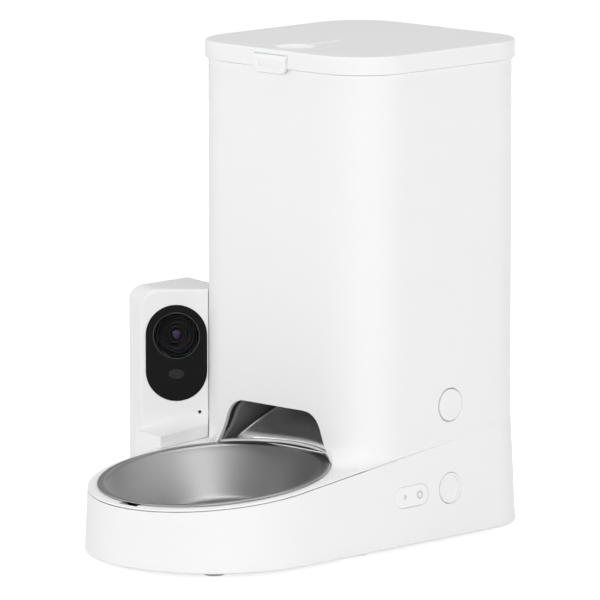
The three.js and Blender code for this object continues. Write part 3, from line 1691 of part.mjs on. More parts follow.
const feeder = new THREE.Group();

function add(name, solid, material) {
  const mesh = new THREE.Mesh(geometryOf(solid.simplify(tidyStep)), material);
  mesh.name = name;
  feeder.add(mesh);
}

add("base_shell", baseShell(), whiteShell);
add("upper_shell", upperShell(), whiteShell);
add("bottom_cover", bottomCover(), whiteShell);
add("battery_door", batteryDoor(), whiteShell);
add("battery_holder", batteryHolder(), darkPlastic);
[0, 1, 2].forEach((index) => add(`battery_${index + 1}`, batteryCell(index), cellBlue));
footPlaces.forEach((place, index) => add(`foot_${index + 1}`, foot(place), greyRubber));
coverPosts.forEach(([x, y], index) => add(`base_screw_${index + 1}`, screwUp(x, y, fitGap / 2), brightSteel));
lugPlaces.forEach(([x, y], index) => {
  const head = lugTop(y) - lugThickness - screwHeadHeight;
  add(`tray_screw_${index + 1}`, screwUp(x, y, head), brightSteel);
});
add("bowl", bowl(), steel);
add("chute", chute(), darkPlastic);
add("food_tank", foodTank(), clearTank);
add("rotor_chamber", rotorChamber(), whiteShell);
add("rotor", rotor(), lightGrey);
add("rotor_gear", rotorGear(), gearPlastic);
add("middle_gear", middleGear(), gearPlastic);
add("motor_pinion", motorPinion(), gearPlastic);
add("gear_case", gearCase(), whiteShell);
add("motor", motor(), brightSteel);
add("lid_shell", lidShell(), whiteShell);
add("lid_liner", lidLiner(), whiteShell);
add("lid_seal", lidSeal(), greyRubber);
add("desiccant_box", desiccantBox(), lightGrey);
const hingePinHalf = hingeTabHalf + runGap + earWidth;
add("lid_hinge_pin", postX(hingePin, -hingePinHalf, hingePinHalf, hingeY, hingeZ), brightSteel);
add("lid_latch", lidLatch(), whiteShell);
const latchPinHalf = latchHalf + latchPinOver - fitGap;
add("latch_pin", postX(latchPinRadius, -latchPinHalf, latchPinHalf, latchY, latchPinZ), brightSteel);
add("release_button", releaseButton(), whiteShell);
const releaseSeat = releaseWall - cageDepth + cageWall + releaseTravel;
add("release_spring", spring(releaseSeat, releaseFace - buttonSkin, releaseY, releaseZ), brightSteel);
add("feed_button", feedButton(), whiteShell);
const feedSeat = boardX + boardThickness + feedTravel;
add("feed_spring", spring(feedSeat, feedFace - buttonSkin - feedDish, feedY, feedZ), brightSteel);
add("indicator_panel", indicatorPanel(), whiteGloss);
add("status_lens", wallDisc(ledRadius, ledY, -lensDepth, 0), lightGrey);
add("ring_lens", panelRing(0, -lensDepth, 0), lightGrey);
add("main_board", mainBoard(), boardGreen);
add("power_inlet", powerInlet(), blackMatte);
add("camera_housing", cameraHousing(), whiteShell);
add("camera_front", cameraFront(), whiteShell);
add("camera_window", cameraWindow(), blackGloss);
add("infrared_window", infraredWindow(), clearSmoke);
add("lens_ring", lensRingPiece(), brightSteel);
add("lens_dome", lensDome(), glass);
add("lens_barrel", lensBarrel(), blackMatte);
add("camera_board", cameraBoard(), boardGreen);
add("microphone", microphone(), brightSteel);
add("speaker", speaker(), blackMatte);
cameraScrewYs.forEach((y, index) => add(`camera_screw_${index + 1}`, cameraScrew(y), brightSteel));

// The middle of the feeder's box on the floor becomes the origin.
const middleX = (cameraLeft + baseHalfWidth) / 2;
const middleY = (bowlCentreY - baseHalfWidth + hingeY + hingeBarrel) / 2;
feeder.position.set(-middleX, -middleY, footHeight);

export default feeder;
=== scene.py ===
"""Looks for the automatic pet feeder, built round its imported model.

The pieces are drawn in millimetres in the same frame as the part's source, where X 0 is the tower's
middle plane and Z 0 the underside of the base. dress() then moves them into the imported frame, in
metres.
"""

import json
import math

import bmesh
import bpy
from mathutils import Matrix, Vector


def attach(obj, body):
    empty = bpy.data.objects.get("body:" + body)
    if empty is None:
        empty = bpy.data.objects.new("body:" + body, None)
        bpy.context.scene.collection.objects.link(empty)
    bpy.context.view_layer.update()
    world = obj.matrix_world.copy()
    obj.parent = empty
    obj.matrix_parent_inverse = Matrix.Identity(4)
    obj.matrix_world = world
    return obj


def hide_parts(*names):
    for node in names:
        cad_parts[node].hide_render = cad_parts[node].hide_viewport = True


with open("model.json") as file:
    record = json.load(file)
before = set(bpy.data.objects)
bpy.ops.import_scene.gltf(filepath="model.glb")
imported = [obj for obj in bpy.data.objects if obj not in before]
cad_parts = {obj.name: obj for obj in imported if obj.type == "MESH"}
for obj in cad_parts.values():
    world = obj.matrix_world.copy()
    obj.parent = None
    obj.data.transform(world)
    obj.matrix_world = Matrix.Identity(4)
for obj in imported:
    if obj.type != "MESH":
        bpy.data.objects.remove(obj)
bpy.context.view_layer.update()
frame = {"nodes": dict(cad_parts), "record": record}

# The part's own sizes, in millimetres
BODY_HEIGHT = 313
BASE_HALF = 81.85
BASE_REAR = 137.6
BASE_REAR_CORNER = 38
DRAFT = 0.05
BASE_WALL = 2.6
SEAM_HEIGHT = 56.4
SEAM_SLOPE = 0.114
TOWER_HALF_X = 78.4
TOWER_HALF_Y = 79
TOWER_Y = 54.85
TOWER_CORNER = 34.7
TOWER_WALL = 2.6
FLARE = 12
LID_OVER = 2.1
LID_BAND = 11.5
LID_WALL = 2.2
DISH_RADIUS = 13.2
DISH_DEPTH = 3
DISH_BACK = 20
BOWL_Y = -77.3
BOWL_RIM = 73.9
BOWL_RIM_WIDTH = 4.2
BOWL_SHEET = 0.9
BOWL_DEPTH = 29
BOWL_FLOOR = 37
BOWL_BEND = 4
BOWL_BEND_RISE = 2.4
BOWL_PLAY = 1.3
RIM_SEAT = 1.1
LIP_WIDTH = 2.4
LIP_HEIGHT = 2.3
HINGE_Y = 139.9
HINGE_Z = 297.2
LATCH_Z = 306.4
FEED_Y = 55
FEED_Z = 31.8
RELEASE_Y = 56.5
RELEASE_Z = 85
PILL_Y = 19.4
PILL_Z = 31.3
PILL_LENGTH = 30
PILL_HEIGHT = 13.5
LED_AT = -6.2
HALO_AT = 7.2
ARCH_FOOT = 53
ARCH_SIDE = 42.4
ARCH_SIDE_TOP = 71.5
ARCH_TOP = 85
CHUTE_BACK = 42.6
CHUTE_WALL = 1.8
HINGE_RADIUS = 3.3
HINGE_BORE = 1.65
LATCH_BORE = 0.95
SCREW_BORE = 1.65
SHIFT = Vector((20.325, 7.975, 4))

TOWER_FRONT = TOWER_Y - TOWER_HALF_Y
TOWER_BACK = TOWER_Y + TOWER_HALF_Y
LID_LOW = BODY_HEIGHT - LID_BAND
TOWER_TOP = LID_LOW - 0.3
SEAM_ANGLE = math.atan(SEAM_SLOPE)
SEAT = BOWL_RIM + RIM_SEAT
DEG = math.pi / 180
MM = 0.001
TINY = 1e-6
WELD = 0.004


def seam(y):
    return SEAM_HEIGHT + SEAM_SLOPE * y


# Meshes in millimetres


def solid(verts, faces):
    """A loose object from points and faces, with its faces turned outwards."""
    mesh = bpy.data.meshes.new("loose")
    mesh.from_pydata([tuple(v) for v in verts], [], faces)
    bm = bmesh.new()
    bm.from_mesh(mesh)
    bmesh.ops.remove_doubles(bm, verts=bm.verts, dist=1e-4)
    bmesh.ops.recalc_face_normals(bm, faces=bm.faces)
    bm.to_mesh(mesh)
    bm.free()
    obj = bpy.data.objects.new("loose", mesh)
    bpy.context.scene.collection.objects.link(obj)
    return obj


def loft(*rings):
    count = len(rings[0])
    verts = [p for r in rings for p in r]
    faces = [
        (
            level * count + i,
            level * count + (i + 1) % count,
            (level + 1) * count + (i + 1) % count,
            (level + 1) * count + i,
        )
        for level in range(len(rings) - 1)
        for i in range(count)
    ]
    last = (len(rings) - 1) * count
    faces.append(tuple(range(count)))
    faces.append(tuple(range(last, last + count)))
    return solid(verts, faces)


def prism(points, low, high, to=lambda u, v, w: (u, v, w)):
    """An outline of (u, v) points, drawn out from low to high along w."""
    return loft([to(u, v, low) for u, v in points], [to(u, v, high) for u, v in points])


def prism_y(points, low, high):
    return prism(points, low, high, lambda u, v, w: (u, w, v))


def block(x0, x1, y0, y1, z0, z1):
    return prism([(x0, y0), (x1, y0), (x1, y1), (x0, y1)], z0, z1)


def turned(profile, sides=128):
    """A profile of (radius, height) points turned round Z; a radius of 0 closes it."""
    rows, verts = [], []
    for radius, height in profile:
        if radius < TINY:
            rows.append([len(verts)] * sides)
            verts.append((0, 0, height))
        else:
            rows.append(list(range(len(verts), len(verts) + sides)))
            for i in range(sides):
                angle = 2 * math.pi * i / sides
                verts.append((radius * math.cos(angle), radius * math.sin(angle), height))
    closed = profile[0][0] > TINY
    pairs = list(zip(rows, rows[1:] + rows[:1] if closed else rows[1:]))
    faces = []
    for a, b in pairs:
        for i in range(sides):
            j = (i + 1) % sides
            corners = []
            for v in (a[i], a[j], b[j], b[i]):
                if v not in corners:
                    corners.append(v)
            if len(corners) > 2:
                faces.append(tuple(corners))
    return solid(verts, faces)


def moved(obj, matrix):
    obj.data.transform(matrix)
    if matrix.determinant() < 0:
        obj.data.flip_normals()
    return obj


TO_X = Matrix.Rotation(90 * DEG, 4, "Y")


def disc(radius, low, high, sides=64):
    return turned([(0, low), (radius, low), (radius, high), (0, high)], sides)


def post_z(radius, x, y, low, high, sides=64):
    return moved(disc(radius, low, high, sides), Matrix.Translation((x, y, 0)))


def post_x(radius, low, high, y, z, sides=64):
    return moved(disc(radius, low, high, sides), Matrix.Translation((0, y, z)) @ TO_X)


def on_tray(obj):
    place_it = Matrix.Translation((0, BOWL_Y, seam(BOWL_Y))) @ Matrix.Rotation(SEAM_ANGLE, 4, "X")
    return moved(obj, place_it)


def boolean(obj, tool, operation):
    change = obj.modifiers.new("cut", "BOOLEAN")
    change.operation = operation
    change.solver = "MANIFOLD"
    change.object = tool
    graph = bpy.context.evaluated_depsgraph_get()
    made = bpy.data.meshes.new_from_object(obj.evaluated_get(graph))
    obj.modifiers.remove(change)
    old = obj.data
    obj.data = made
    bpy.data.meshes.remove(old)
    drop(tool)
    if not made.polygons:
        raise RuntimeError("a boolean left nothing")
    return obj


def drop(obj):
    mesh = obj.data
    bpy.data.objects.remove(obj)
    bpy.data.meshes.remove(mesh)


def cut(obj, *tools):
    for tool in tools:
        obj = boolean(obj, tool, "DIFFERENCE")
    return obj


def join(obj, *others):
    for other in others:
        obj = boolean(obj, other, "UNION")
    return obj


def common(obj, tool):
    return boolean(obj, tool, "INTERSECT")


def arc_points(cx, cy, radius, start, end, steps):
    return [
        (
            cx + radius * math.cos((start + (end - start) * i / steps) * DEG),
            cy + radius * math.sin((start + (end - start) * i / steps) * DEG),
        )
        for i in range(steps + 1)
    ]


def bend(a, control, b, steps=16):
    """Points on a quadratic curve, without its first one."""
    points = []
    for i in range(1, steps + 1):
        t = i / steps
        points.append(
            tuple((1 - t) ** 2 * p + 2 * t * (1 - t) * c + t * t * q for p, c, q in zip(a, control, b))
        )
    return points


# Rings along the outlines


def chain(arcs):
    points = []
    for cx, cy, radius, start, end, steps in arcs:
        for i in range(steps + 1):
            angle = (start + (end - start) * i / steps) * DEG
            out = (math.cos(angle), math.sin(angle))
            points.append((cx + radius * out[0], cy + radius * out[1], out[0], out[1]))
    return spread(points)


def spread(points, step=8):
    """Adds points on the long straight stretches, so that the sides shade evenly."""
    made = []
    for i, p in enumerate(points):
        q = points[(i + 1) % len(points)]
        made.append(p)
        gap = math.hypot(q[0] - p[0], q[1] - p[1])
        parts = int(gap // step)
        for k in range(1, parts):
            t = k / parts
            made.append((p[0] + (q[0] - p[0]) * t, p[1] + (q[1] - p[1]) * t, p[2], p[3]))
    return made


def rounded(half_x, half_y, corner, cy, steps=20):
    fx, fy = half_x - corner, half_y - corner
    return chain(
        [
            (fx, cy - fy, corner, -90, 0, steps),
            (fx, cy + fy, corner, 0, 90, steps),
            (-fx, cy + fy, corner, 90, 180, steps),
            (-fx, cy - fy, corner, 180, 270, steps),
        ]
    )


FOOTPRINT = chain(
    [
        (0, BOWL_Y, BASE_HALF, 180, 360, 96),
        (BASE_HALF - BASE_REAR_CORNER, BASE_REAR - BASE_REAR_CORNER, BASE_REAR_CORNER, 0, 90, 24),
        (BASE_REAR_CORNER - BASE_HALF, BASE_REAR - BASE_REAR_CORNER, BASE_REAR_CORNER, 90, 180, 24),
    ]
)
TOWER = rounded(TOWER_HALF_X, TOWER_HALF_Y, TOWER_CORNER, TOWER_Y)


def ring(points, grow, height, draft=0.0):
    made = []
    for x, y, ox, oy in points:
        px, py, pz = x, y, height(y)
        for _ in range(4):
            out = grow - draft * pz
            px, py = x + out * ox, y + out * oy
            pz = height(py)
        made.append((px, py, pz))
    return made


def base_ring(grow, z):
    return ring(FOOTPRINT, grow, lambda y: z, DRAFT)


def tray_ring(grow, lift):
    return ring(FOOTPRINT, grow, lambda y: seam(y) + lift, DRAFT)


def tower_ring(grow, z):
    return ring(TOWER, grow, lambda y: z)


def tower_seam_ring(grow, lift):
    return ring(TOWER, grow, lambda y: seam(y) + lift)


def arc_rings(make, radius, steps, at=0.0, up=True):
    """Rings that round an edge: a quarter turn from the side wall to the flat face."""
    rings = []
    for i in range(steps + 1):
        angle = 90 * DEG * i / steps
        side = -radius * (1 - math.cos(angle))
        rise = radius * (1 - math.sin(angle))
        rings.append(make(side, at - rise if up else at + rise))
    return rings if up else rings[::-1]


# Materials

CLOUD_SCALE = 14
RELIEF = 0.00004


def material(name, color, roughness, metallic=0.0, **more):
    made = bpy.data.materials.new(name)
    made.use_nodes = True
    nodes, links = made.node_tree.nodes, made.node_tree.links
    shader = nodes["Principled BSDF"]
    shader.inputs["Metallic"].default_value = metallic
    for key, value in more.get("inputs", {}).items():
        shader.inputs[key].default_value = value
    coords = nodes.new("ShaderNodeTexCoord")

    def noise(scale, detail):
        node = nodes.new("ShaderNodeTexNoise")
        node.inputs["Scale"].default_value = scale
        node.inputs["Detail"].default_value = detail
        links.new(coords.outputs["Object"], node.inputs["Vector"])
        return node

    # Slow variation of the colour over the surface
    cloud = noise(CLOUD_SCALE, 4.0)
    mix = nodes.new("ShaderNodeMix")
    mix.data_type = "RGBA"
    depth = more.get("depth", 0.03)
    mix.inputs["A"].default_value = (*[c * (1 - depth) for c in color], 1)
    mix.inputs["B"].default_value = (*[min(1, c * (1 + depth)) for c in color], 1)
    links.new(cloud.outputs["Fac"], mix.inputs["Factor"])
    links.new(mix.outputs["Result"], shader.inputs["Base Color"])
    # Roughness that wanders a little
    wander = noise(more.get("grain", 900), 2.0)
    band = nodes.new("ShaderNodeMapRange")
    spread_by = more.get("spread", 0.04)
    band.inputs["To Min"].default_value = max(0.0, roughness - spread_by)
    band.inputs["To Max"].default_value = min(1.0, roughness + spread_by)
    links.new(wander.outputs["Fac"], band.inputs["Value"])
    links.new(band.outputs["Result"], shader.inputs["Roughness"])
    # Fine moulded or brushed relief
    if more.get("bump", 0.0):
        relief = nodes.new("ShaderNodeBump")
        relief.inputs["Strength"].default_value = more["bump"]
        relief.inputs["Distance"].default_value = RELIEF
        links.new(wander.outputs["Fac"], relief.inputs["Height"])
        links.new(relief.outputs["Normal"], shader.inputs["Normal"])
    if more.get("radial"):
        tangent = nodes.new("ShaderNodeTangent")
        tangent.direction_type = "RADIAL"
        tangent.axis = "Z"
        links.new(tangent.outputs["Tangent"], shader.inputs["Tangent"])
    return made


WHITE = material(
    "white_moulding",
    (0.87, 0.87, 0.875),
    0.58,
    bump=0.25,
    grain=2600,
    depth=0.012,
    spread=0.05,
    inputs={"Specular IOR Level": 0.3},
)
WHITE_GLOSS = material("white_gloss", (0.87, 0.87, 0.875), 0.2, bump=0.05, grain=1800, depth=0.01)
STEEL = material(
    "spun_steel",
    (0.39, 0.39, 0.395),
    0.37,
    1.0,
    bump=0.08,
    grain=1500,
    depth=0.04,
    radial=True,
    inputs={"Anisotropic": 0.45},
)
BRIGHT = material("bright_steel", (0.66, 0.66, 0.67), 0.22, 1.0, bump=0.05, grain=3000, depth=0.05)
DARK = material(
    "dark_chute",
    (0.19, 0.19, 0.193),
    0.3,
    bump=0.1,
    grain=2200,
    depth=0.08,
    inputs={"Coat Weight": 0.3},
)
RAMP = material("dark_ramp", (0.78, 0.78, 0.785), 0.32, 1.0, grain=1800, depth=0.04, spread=0.02)
GLOSS_BLACK = material(
    "black_gloss",
    (0.006, 0.006, 0.0063),
    0.09,
    bump=0.01,
    grain=900,
    depth=0.1,
    spread=0.02,
    inputs={"Specular IOR Level": 0.06},
)
MATTE_BLACK = material("black_matte", (0.01, 0.01, 0.011), 0.45, bump=0.1, grain=2000, depth=0.1)
SMOKE = material(
    "smoked_window",
    (0.014, 0.013, 0.015),
    0.12,
    bump=0.02,
    grain=1500,
    depth=0.1,
    inputs={"Specular IOR Level": 0.15},
)
LENS = material(
    "coated_glass",
    (0.9, 0.88, 0.94),
    0.02,
    depth=0.02,
    spread=0.01,
    inputs={"Transmission Weight": 1.0, "IOR": 1.1},
)
LENS_EYE = material(
    "purple_eye",
    (0.006, 0.003, 0.01),
    0.06,
    depth=0.2,
    spread=0.01,
    inputs={"Specular IOR Level": 0.5, "Specular Tint": (0.8, 0.68, 1.0, 1)},
)
LENS_TUBE = material(
    "lens_tube_black",
    (0.002, 0.002, 0.0022),
    0.35,
    depth=0.1,
    spread=0.02,
    inputs={"Specular IOR Level": 0.04},
)
LENS_TRIM = material("dark_chrome", (0.07, 0.07, 0.073), 0.25, 1.0, bump=0.02, grain=2000, depth=0.05)
LENS_RINGS = material("ring_edges", (0.5, 0.48, 0.52), 0.22, 1.0, bump=0.02, grain=2000, depth=0.05)
RUBBER = material("grey_rubber", (0.7, 0.7, 0.71), 0.75, bump=0.5, grain=1800, depth=0.06)
TANK = material(
    "frosted_tank",
    (0.74, 0.78, 0.8),
    0.28,
    bump=0.08,
    grain=1500,
    depth=0.03,
    inputs={"Transmission Weight": 0.35, "IOR": 1.49},
)
GEAR = material("natural_acetal", (0.74, 0.71, 0.61), 0.4, bump=0.15, grain=2200, depth=0.04)
BOARD = material("solder_mask", (0.02, 0.12, 0.055), 0.35, bump=0.2, grain=3500, depth=0.2)
CELL = material("cell_sleeve", (0.05, 0.09, 0.19), 0.3, bump=0.05, grain=1200, depth=0.12)
LIGHT = material("light_grey", (0.66, 0.67, 0.68), 0.35, bump=0.12, grain=2200, depth=0.03)
SLOT_LOOKS = {
    "white_shell": WHITE,
    "white_gloss": WHITE_GLOSS,
    "bowl_steel": STEEL,
    "bright_steel": BRIGHT,
    "dark_plastic": DARK,
    "black_gloss": GLOSS_BLACK,
    "black_matte": MATTE_BLACK,
    "smoke": SMOKE,
    "lens_glass": LENS,
    "grey_rubber": RUBBER,
    "clear_tank": TANK,
    "gear_plastic": GEAR,
    "board": BOARD,
    "cell": CELL,
    "light_grey": LIGHT,
}
node_slots = {s["node"]: s["material_slot"] for s in frame["record"]["subparts"]}
node_body = {n: b for b, ns in frame["record"]["behaviour"]["bodies"].items() for n in ns}


def finish_mesh(obj, sharp):
    """Even shading: smooth inside faces that meet under the sharp angle, broken at the rest."""
    bm = bmesh.new()
    bm.from_mesh(obj.data)
    bmesh.ops.remove_doubles(bm, verts=bm.verts, dist=WELD)
    bmesh.ops.dissolve_degenerate(bm, edges=bm.edges, dist=WELD)
    bm.to_mesh(obj.data)
    bm.free()
    obj.data.shade_smooth()
    obj.data.set_sharp_from_angle(angle=sharp * DEG)
    even = obj.modifiers.new("even", "WEIGHTED_NORMAL")
    even.keep_sharp = True
    even.weight = 60


def dress(obj, name, look, sharp):
    """Finishes a piece's mesh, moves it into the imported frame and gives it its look."""
    finish_mesh(obj, sharp)
    obj.data.transform(Matrix.Scale(MM, 4) @ Matrix.Translation(SHIFT))
    obj.name = name
    obj.data.name = name
    obj.data.materials.clear()
    obj.data.materials.append(look)


def place(obj, name, node, look=None, sharp=28, others=()):
    """Hands a piece in millimetres to the frame, in the place of its CAD node."""
    slot = node_slots[node]
    dress(obj, name, look or SLOT_LOOKS[slot], sharp)
    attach(obj, node_body[node])
    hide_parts(node, *others)


def add_on(obj, name, node, look, sharp):
    """Hands over a second piece that rides with a node's body, with a look of its own."""
    dress(obj, name, look, sharp)
    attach(obj, node_body[node])


# The camera panel's frame: U runs along the panel away from the tower, V up and W into the housing

TURN = 45 * DEG
PANEL_X = -69.8
PANEL_Y = -12.5
PANEL = Matrix(
    (
        (-math.cos(TURN), 0, -math.sin(TURN), PANEL_X),
        (-math.sin(TURN), 0, math.cos(TURN), PANEL_Y),
        (0, 1, 0, 0),
        (0, 0, 0, 1),
    )
)
PANEL_WIDTH = 44.3
# Behind the panel the housing widens by FRAME_OUT over FRAME_DEPTH
FRAME_OUT = 7.6
FRAME_DEPTH = 24
CAMERA_TOP = 150.5
CAMERA_LEFT = -122.5
CAMERA_RIGHT = -34.9
CAMERA_FRONT = -52.6
CAMERA_WALL = 2.2
FOOT_FRONT = -50.6
LENS_U = 20.9
LENS_V = 120.3
WINDOW_V = 109
WINDOW_RADIUS = 19.7
WINDOW_STRAIGHT = 31.3 - WINDOW_RADIUS
INFRARED_V = 95.4


def on_panel(obj):
    return moved(obj, PANEL)


def panel_turned(profile, u, v, sides=96):
    return on_panel(moved(turned(profile, sides), Matrix.Translation((u, v, 0))))


def panel_prism(points, near, far):
    return on_panel(prism(points, near, far))


def panel_half_space(near, far):
    return panel_prism([(-90, -4), (90, -4), (90, 320), (-90, 320)], near, far)


def camera_side(start):
    """All that lies on the camera's side of its panel's inner edge."""
    return panel_prism([(start, -4), (90, -4), (90, 151), (start, 151)], -90, 90)


# Base and tower

TRAY_EDGE = 0.8


def build_base():
    rings = arc_rings(base_ring, 1.5, 6, at=0, up=False)
    for i in range(1, 5):
        rings.append(ring(FOOTPRINT, 0, lambda y, i=i: 1.5 + (seam(y) - 4) * i / 5, DRAFT))
    rings += [
        tray_ring(0, -TRAY_EDGE - 0.85),
        tray_ring(-0.08, -TRAY_EDGE - 0.65),
        tray_ring(-0.3, -TRAY_EDGE - 0.6),
        tray_ring(-BASE_WALL, -TRAY_EDGE - 2.1),
    ]
    wall = loft(*rings)
    wall = cut(wall, loft(base_ring(-BASE_WALL, -2), tray_ring(-BASE_WALL, 2)))
    feed = [(0, -14), (10.2, -14), (10.2, -0.45), (10.45, -0.12), (10.9, 0), (10.9, 3), (0, 3)]
    feed_place = Matrix.Translation((BASE_HALF - DRAFT * FEED_Z, FEED_Y, FEED_Z))
    feed = moved(turned(feed, 96), feed_place @ TO_X)
    inlet = block(-26.8, -13.2, 123, 140, 16.2, 27.8)
    wall = cut(wall, feed, pill(0.15, -6, 3), inlet)
    holes = [post_x(SCREW_BORE, -90, -74, y, 22, 24) for y in (0, -16)]
    return cut(wall, *holes)


def wall_matrix():
    """Takes X along the wall, Y up and Z out to the drafted side wall, round the panel's middle."""
    lean = Matrix.Rotation(-math.atan(DRAFT), 4, "Y")
    turn = lean @ Matrix.Rotation(90 * DEG, 4, "Z") @ Matrix.Rotation(90 * DEG, 4, "X")
    return Matrix.Translation((BASE_HALF - DRAFT * PILL_Z, PILL_Y, PILL_Z)) @ turn


def pill_points(length, height, steps=20):
    half, radius = (length - height) / 2, height / 2
    right = arc_points(half, 0, radius, -90, 90, steps)
    return right + arc_points(-half, 0, radius, 90, 270, steps)


def pill(grow, low, high, edge=0.0):
    full = pill_points(PILL_LENGTH + 2 * grow, PILL_HEIGHT + 2 * grow)
    if not edge:
        return moved(prism(full, low, high), wall_matrix())
    layers = [[(u, v, low) for u, v in full], [(u, v, high - edge) for u, v in full]]
    for i in range(1, 4):
        angle = 30 * DEG * i
        less = edge * (1 - math.cos(angle))
        small = pill_points(PILL_LENGTH - 2 * less, PILL_HEIGHT - 2 * less)
        layers.append([(u, v, high - edge + edge * math.sin(angle)) for u, v in small])
    return moved(loft(*layers), wall_matrix())


def wall_disc(profile, offset, sides=48):
    return moved(turned(profile, sides), wall_matrix() @ Matrix.Translation((offset, 0, 0)))


def arch_points(grow):
    foot = seam(TOWER_FRONT) - 2
    middle = (foot + ARCH_SIDE_TOP) / 2
    side = [(ARCH_FOOT + grow, foot)]
    side += bend(side[-1], (45.9 + grow, middle), (ARCH_SIDE + grow, ARCH_SIDE_TOP))
    side += bend(side[-1], (38.5 + grow, ARCH_TOP + grow), (26, ARCH_TOP + grow))
    return side + [(-x, z) for x, z in reversed(side)]


def tray_disc(radius, low, high, sides=192):
    return on_tray(disc(radius, low, high, sides))


def flare_at(x, ox):
    """The flare's size at a point of the outline: it runs out where the tower's side begins."""
    return FLARE if abs(ox) < TINY else min(FLARE, (TOWER_HALF_X - abs(x)) / abs(ox))


def flare_ring(out, up, grow=0.0, low=0.0):
    made = []
    for x, y, ox, oy in TOWER:
        size = flare_at(x, ox) if oy < TINY else 0.0
        wide = size * out + grow
        py = y + wide * oy
        made.append((x + wide * ox, py, seam(py) + size * up + low))
    return made


def basin(grow, top):
    wall = BOWL_RIM - BOWL_RIM_WIDTH + BOWL_PLAY + grow
    low = -BOWL_DEPTH - BOWL_PLAY - grow
    floor = BOWL_FLOOR + BOWL_PLAY + grow
    return on_tray(turned([(0, low), (floor, low), (wall, -1), (wall, top), (0, top)], 192))


def build_upper():
    rings = [flare_ring(1, 0, 0, -1.5)]
    for i in range(19):
        angle = 5 * i * DEG
        rings.append(flare_ring(1 - math.sin(angle), 1 - math.cos(angle), 0, -0.02))
    foot = rings[-1]
    for i in range(1, 10):
        rings.append([(x, y, z + (TOWER_TOP - 0.5 - z) * i / 9) for x, y, z in foot])
    rings += [tower_ring(-0.12, TOWER_TOP - 0.2), tower_ring(-0.5, TOWER_TOP)]
    tower = loft(*rings)
    tower = cut(tower, cut(camera_side(0), loft(tower_ring(0.02, -6), tower_ring(0.02, 160))))
    inside = loft(tower_seam_ring(-TOWER_WALL, 0), tower_ring(-TOWER_WALL, TOWER_TOP + 2))
    tower = cut(tower, inside)
    edge = [tray_ring(-2.6 - TRAY_EDGE, -2.6)]
    for i in range(5):
        angle = 22.5 * i * DEG
        edge.append(tray_ring(-TRAY_EDGE * (1 - math.cos(angle)), -TRAY_EDGE * (1 - math.sin(angle))))
    tray = loft(*edge)
    arch = prism_y(arch_points(0), TOWER_FRONT - 24, TOWER_FRONT + TOWER_WALL + 2)
    rim_room = common(
        tray_disc(SEAT, -2, 42),
        block(-90, 90, TOWER_FRONT - 24, TOWER_FRONT, 0, 90),
    )
    under = loft(base_ring(12, -2), tray_ring(12, 0))
    opening = cut(join(arch, rim_room), under)
    tower = cut(tower, opening)
    lip = [(SEAT, -1.3), (SEAT, LIP_HEIGHT - 0.7), (SEAT + 0.2, LIP_HEIGHT - 0.2)]
    lip += [(SEAT + 0.7, LIP_HEIGHT), (SEAT + LIP_WIDTH - 0.7, LIP_HEIGHT)]
    lip += [(SEAT + LIP_WIDTH - 0.2, LIP_HEIGHT - 0.2), (SEAT + LIP_WIDTH, LIP_HEIGHT - 0.7)]
    lip = turned(lip + [(SEAT + LIP_WIDTH, -1.3)], 192)
    lip = common(on_tray(lip), prism_y(arch_points(-0.3), TOWER_FRONT - 12, TOWER_Y))
    upper = join(tower, tray, basin(2, -0.5), lip)
    notch_y = BOWL_Y - BOWL_RIM
    notch = block(-8, 8, notch_y - 2.6, notch_y + 7.6, seam(notch_y) - 3.4, seam(BOWL_Y))
    bore = turned([(0, -6), (10.9, -6), (10.9, -0.3), (11.2, 0), (11.2, 3), (0, 3)], 96)
    bore = moved(bore, Matrix.Translation((TOWER_HALF_X, RELEASE_Y, RELEASE_Z)) @ TO_X)
    upper = cut(upper, basin(0, 2), notch, bore)
    ears = []
    for x in (22.4, -30.4):
        ear = join(
            post_x(HINGE_RADIUS, x, x + 8, HINGE_Y, HINGE_Z),
            block(x, x + 8, TOWER_BACK - 1.3, HINGE_Y, HINGE_Z - HINGE_RADIUS, HINGE_Z + HINGE_RADIUS),
        )
        ears.append(ear)
    upper = join(upper, *ears)
    return cut(upper, post_x(HINGE_BORE, -38, 38, HINGE_Y, HINGE_Z, 32))


place(build_base(), "base_wall", "base_shell", sharp=24)
place(build_upper(), "tower_and_tray", "upper_shell", sharp=24)

# Bowl


def straight(a, b, steps=12):
    """Points on a straight line, without its first one."""
    return [tuple(p + (q - p) * i / steps for p, q in zip(a, b)) for i in range(1, steps + 1)]


def build_bowl():
    top = BOWL_RIM - BOWL_RIM_WIDTH
    turn = BOWL_FLOOR + BOWL_BEND
    under = -BOWL_DEPTH
    floor = under + BOWL_SHEET
    outer = [(0, under), (BOWL_FLOOR - 3, under)]
    outer += bend(outer[-1], (BOWL_FLOOR + 0.6, under), (turn, under + BOWL_BEND_RISE), 8)
    outer += straight(outer[-1], (top - 2.2, BOWL_BEND_RISE - 4.4))
    outer += bend(outer[-1], (top - 0.2, -0.2), (top + 1.6, 0), 6)
    outer += [(BOWL_RIM - 1.0, 0)]
    outer += bend(outer[-1], (BOWL_RIM - 0.1, -0.5), (BOWL_RIM, 0.3), 5)
    inner = [(BOWL_RIM - 0.25, 0.75), (BOWL_RIM - 0.8, 1.0), (BOWL_RIM - 1.6, BOWL_SHEET)]
    inner.append((top + 1.2, BOWL_SHEET))
    inner += bend(inner[-1], (top - 1.1, BOWL_SHEET - 0.1), (top - 2.9, -1.5), 6)
    inner += straight(inner[-1], (turn - 0.7, under + BOWL_BEND_RISE + 0.75))
    inner += bend(inner[-1], (BOWL_FLOOR + 0.2, floor), (BOWL_FLOOR - 3.4, floor), 8)
    inner += [(BOWL_FLOOR / 2, floor), (0, floor)]
    bowl = turned(outer + inner, 192)
    return on_tray(moved(bowl, Matrix.Translation((0, 0, 0.5))))


place(build_bowl(), "food_bowl", "bowl", sharp=50)

# Chute

